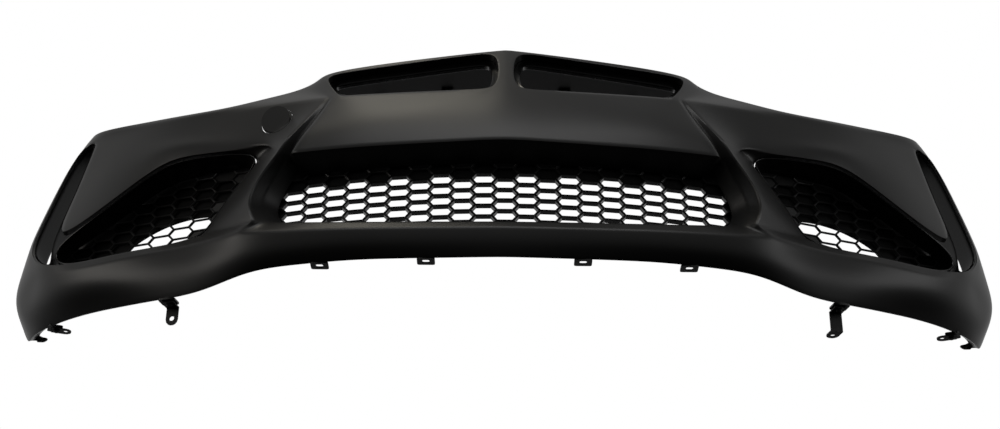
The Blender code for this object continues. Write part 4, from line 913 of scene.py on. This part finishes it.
def honeycomb(name, outline, pitch, wall, depth, row=None, closed_above=None):
    """A lattice in the XZ plane with its front at y = 0, trimmed to an outline. row is the height of a row
    of the middle column, and closed_above gives the height at x past which every cell is blind."""
    low, high = outline.min(axis=0), outline.max(axis=0)
    columns = math.ceil((high[0] - low[0]) / pitch[0] / 2) + 1
    rows = math.ceil((high[1] - low[1]) / pitch[1]) + 2
    middle = (low + high) / 2
    if row is not None:
        middle[1] = row
    i, j = np.meshgrid(np.arange(-columns, columns + 1), np.arange(-rows, rows + 1), indexing="ij")
    centres = (middle + np.stack([i, j + 0.5 * (i % 2)], axis=-1) * pitch).reshape(-1, 2)
    centres = centres[np.abs(centres[:, 1] - (low + high)[1] / 2) < (high - low)[1] / 2 + 2 * pitch[1]]
    tile, hole = TILE * pitch, hole_outline_of(pitch, wall)
    corners = (centres[:, None] + hole).reshape(-1, 2)
    through = distance_inside(corners, outline).reshape(-1, 6).min(axis=1) > CELL_BORDER
    if closed_above:
        through &= centres[:, 1] <= closed_above(centres[:, 0])
    rings = [(tile, 0, 0), (hole, CHAMFER, CHAMFER),
             (hole, depth - CHAMFER, depth * POCKET_SHARE), (tile, depth, depth)]
    stack = np.array([[np.column_stack([ring, np.full(6, y)]) for ring, y in
                       ((shape, far if open_cell else near) for shape, far, near in rings)]
                      for open_cell in (False, True)])
    points = stack[through.astype(int)].reshape(-1, 24, 3)
    points[..., :2] += centres[:, None]
    ring = np.arange(6)
    bands = [np.stack([k * 6 + ring, k * 6 + np.roll(ring, -1), k * 6 + 6 + np.roll(ring, -1),
                       k * 6 + 6 + ring], axis=-1) for k in range(3)]
    starts = np.arange(len(centres)) * 24
    quads = np.vstack([(starts[:, None, None] + np.vstack(bands[:2])).reshape(-1, 4),
                       (starts[through][:, None, None] + bands[2]).reshape(-1, 4)])
    blind = starts[~through][:, None]
    lids = np.vstack([blind + 12 + ring, blind + 18 + ring[::-1]])
    return trimmed(name, points.reshape(-1, 3), quads.tolist() + lids.tolist(), outline, depth), through.sum()


def trimmed(name, points, faces, outline, depth):
    """The lattice closed round its ragged edge, then cut to its outline."""
    mesh = bpy.data.meshes.new(name)
    mesh.from_pydata(points.tolist(), [], faces)
    shape = bmesh.new()
    shape.from_mesh(mesh)
    bmesh.ops.remove_doubles(shape, verts=shape.verts, dist=1e-5)
    rim = [e for e in shape.edges if len(e.link_faces) == 1]
    bmesh.ops.bridge_loops(shape, edges=rim)
    bmesh.ops.recalc_face_normals(shape, faces=shape.faces)
    shape.to_mesh(mesh)
    shape.free()
    lattice = bpy.data.objects.new(name, mesh)
    bpy.context.scene.collection.objects.link(lattice)
    frame_points, frame_faces = prism(outline, -SPARE, depth + SPARE)
    tool = joined("outline", [(frame_points, frame_faces)])
    boolean(lattice, tool, "INTERSECT")
    settle(lattice, HONEYCOMB_BLACK, FACET_ANGLE)
    discard(tool)
    return lattice


def move_points(piece, move):
    """Replaces all points of a piece by a function of their whole array."""
    flat = np.zeros(len(piece.data.vertices) * 3)
    piece.data.vertices.foreach_get("co", flat)
    piece.data.vertices.foreach_set("co", move(flat.reshape(-1, 3)).ravel())
    piece.data.update()


# %% Centre grille
def centre_grille():
    """The lattice, bent so that its front follows the plan curve y = set + bow * x squared."""
    half = offset(tunnel_rear(edge_points(CENTRE_EDGE)), -LAND + GRILLE_PLAY, closed=False)[:, [0, 2]]
    outline = np.vstack([half, half[-2:0:-1] * np.array([-1, 1])])[::-1]

    def pocket_edge(x):
        return np.interp(np.abs(x), half[:FLANK + 1, 0], half[:FLANK + 1, 1]) - POCKET_BAND

    piece, holes = honeycomb("centre_grille_surface", outline, CELL_PITCH, CELL_WALL, GRILLE_DEPTH, CELL_ROW,
                             pocket_edge)
    print("open cells", holes)
    move_points(piece, lambda p: np.column_stack(
        [p[:, 0], p[:, 2] + grille_y(p[:, 0]) + LAND_GAP, p[:, 1]]) - ORIGIN)
    return piece


grille = centre_grille()
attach(grille, "cover")
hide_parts("centre_grille")
report(grille)


# %% Side grilles
def side_grille():
    """The lattice on the slanted plane behind the side intake."""
    inner = offset(offset(edge_points(TRIM_LOOP), TRIM_CLEARANCE), TRIM_STEP - GRILLE_LAP)
    turn = math.atan(SIDE_GRILLE_FRONT[1])
    middle = inner.mean(axis=0)
    outline = np.stack([(inner[:, 0] - middle[0]) / math.cos(turn), inner[:, 2] - middle[2]], axis=1)[::-1]
    piece, holes = honeycomb("left_intake_grille_surface", outline, SIDE_CELL_PITCH, SIDE_CELL_WALL,
                             SIDE_GRILLE_DEPTH)
    print("open cells", holes)
    start = np.array([middle[0], side_grille_y(middle[0]) + GAP, middle[2]]) - ORIGIN
    across = np.array([math.cos(turn), math.sin(turn), 0])
    inward = np.array([-math.sin(turn), math.cos(turn), 0])
    move_points(piece, lambda p: start + p[:, :1] * across + p[:, 2:] * inward + p[:, 1:2] * [0, 0, 1])
    return piece


both_sides(side_grille(), "intake_grille")

# %% [markdown]
# ## Pressed steel, rubber and blanking panels
# Brackets, clips and screws are bought-in pieces of steel with a thin black coat, the pad is rubber, and the
# panels that close the backs of the side grilles are matte plastic. Their solid shapes are already right, so
# they keep them and take a finish.

# %% Finish of the carried-over pieces
KEPT = {"bracket": COATED_STEEL, "clip": COATED_STEEL, "screw": COATED_STEEL, "mounting_pad": PAD_RUBBER,
        "blanking_panel": DUCT_BLACK}
for name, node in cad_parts.items():
    finish = next((kept for word, kept in KEPT.items() if word in name), None)
    if finish:
        node.data.materials.clear()
        node.data.materials.append(finish)
        print(name, "takes", finish.name)

# %% [markdown]
# ## The studio
# The cover hangs high over a pale floor and is seen from below. The space behind it is a white sweep, and
# the space in front and below is dim, so the black plastic stays black and only its turned edges catch the
# white. The floor is only seen: it throws no light back at the cover and shows in none of its highlights.


# %% World, floor, lights and camera
def studio_world(behind=0.8, front=0.10, shown=1.0):
    world = bpy.data.worlds.new("studio")
    world.use_nodes = True
    bpy.context.scene.world = world
    tree = world.node_tree
    tree.nodes.clear()
    split = tree.nodes.new("ShaderNodeSeparateXYZ")
    tree.links.new(tree.nodes.new("ShaderNodeTexCoord").outputs["Generated"], split.inputs[0])
    toward_back = Value(tree, split.outputs["Y"])
    level = front + (behind - front) * ((toward_back + 0.25) * 0.8).clamp()
    level = level * ((Value(tree, split.outputs["Z"]) + 0.45) * 1.6).clamp()
    path = tree.nodes.new("ShaderNodeLightPath")
    seen = Value(tree, path.outputs["Is Camera Ray"])
    strength = level * (1 - seen) + shown * seen
    background = tree.nodes.new("ShaderNodeBackground")
    background.inputs["Color"].default_value = (1, 1, 1, 1)
    tree.links.new(strength.socket, background.inputs["Strength"])
    output = tree.nodes.new("ShaderNodeOutputWorld")
    tree.links.new(background.outputs[0], output.inputs["Surface"])


def soft_box(name, place, aim, size, power, colour=(1, 1, 1)):
    """A rectangular light of a size in metres that faces a point."""
    light = bpy.data.lights.new(name, "AREA")
    light.shape, (light.size, light.size_y) = "RECTANGLE", size
    light.energy, light.color = power, colour
    box = bpy.data.objects.new(name, light)
    box.location = place
    box.rotation_euler = (Vector(aim) - Vector(place)).to_track_quat("-Z", "Y").to_euler()
    bpy.context.scene.collection.objects.link(box)


def pale_floor(height):
    mesh = bpy.data.meshes.new("floor")
    half = 9.0
    mesh.from_pydata([(-half, -half, height), (half, -half, height), (half, half, height),
                      (-half, half, height)], [], [(0, 1, 2, 3)])
    floor = bpy.data.objects.new("floor", mesh)
    bpy.context.scene.collection.objects.link(floor)
    paint = Finish("pale_floor", (0.88, 0.88, 0.87), 0.7, specular=0.2)
    mesh.materials.append(paint.material)
    floor.visible_diffuse = floor.visible_glossy = False


def camera(place, tilt, roll, lens, shift):
    data = bpy.data.cameras.new("camera")
    data.sensor_width, data.lens = 36, lens
    data.shift_x, data.shift_y = shift
    item = bpy.data.objects.new("camera", data)
    item.location = place
    turn = Matrix.Rotation(math.radians(90 + tilt), 3, "X") @ Matrix.Rotation(math.radians(roll), 3, "Z")
    item.rotation_euler = turn.to_euler()
    bpy.context.scene.collection.objects.link(item)
    bpy.context.scene.camera = item


studio_world()
pale_floor(-1.95)
soft_box("front_top", (0, -2.6, 2.6), (0, 0, -0.2), (3.0, 1.4), 30)
soft_box("warm_top", (-0.65, -0.6, 2.2), (-0.15, -0.2, -0.15), (0.9, 0.5), 6.5, (1, 0.94, 0.80))
soft_box("left_side", (-2.8, -1.0, 0.2), (-0.6, 0, -0.2), (1.4, 1.0), 9, (1, 0.96, 0.9))
soft_box("right_side", (2.8, -1.0, 0.2), (0.6, 0, -0.2), (1.4, 1.0), 7)
camera((0, -2.689, -1.6871), 28, 0.45, 60.84, (-0.005, -0.0145))
bpy.context.scene.view_settings.view_transform = "Standard"
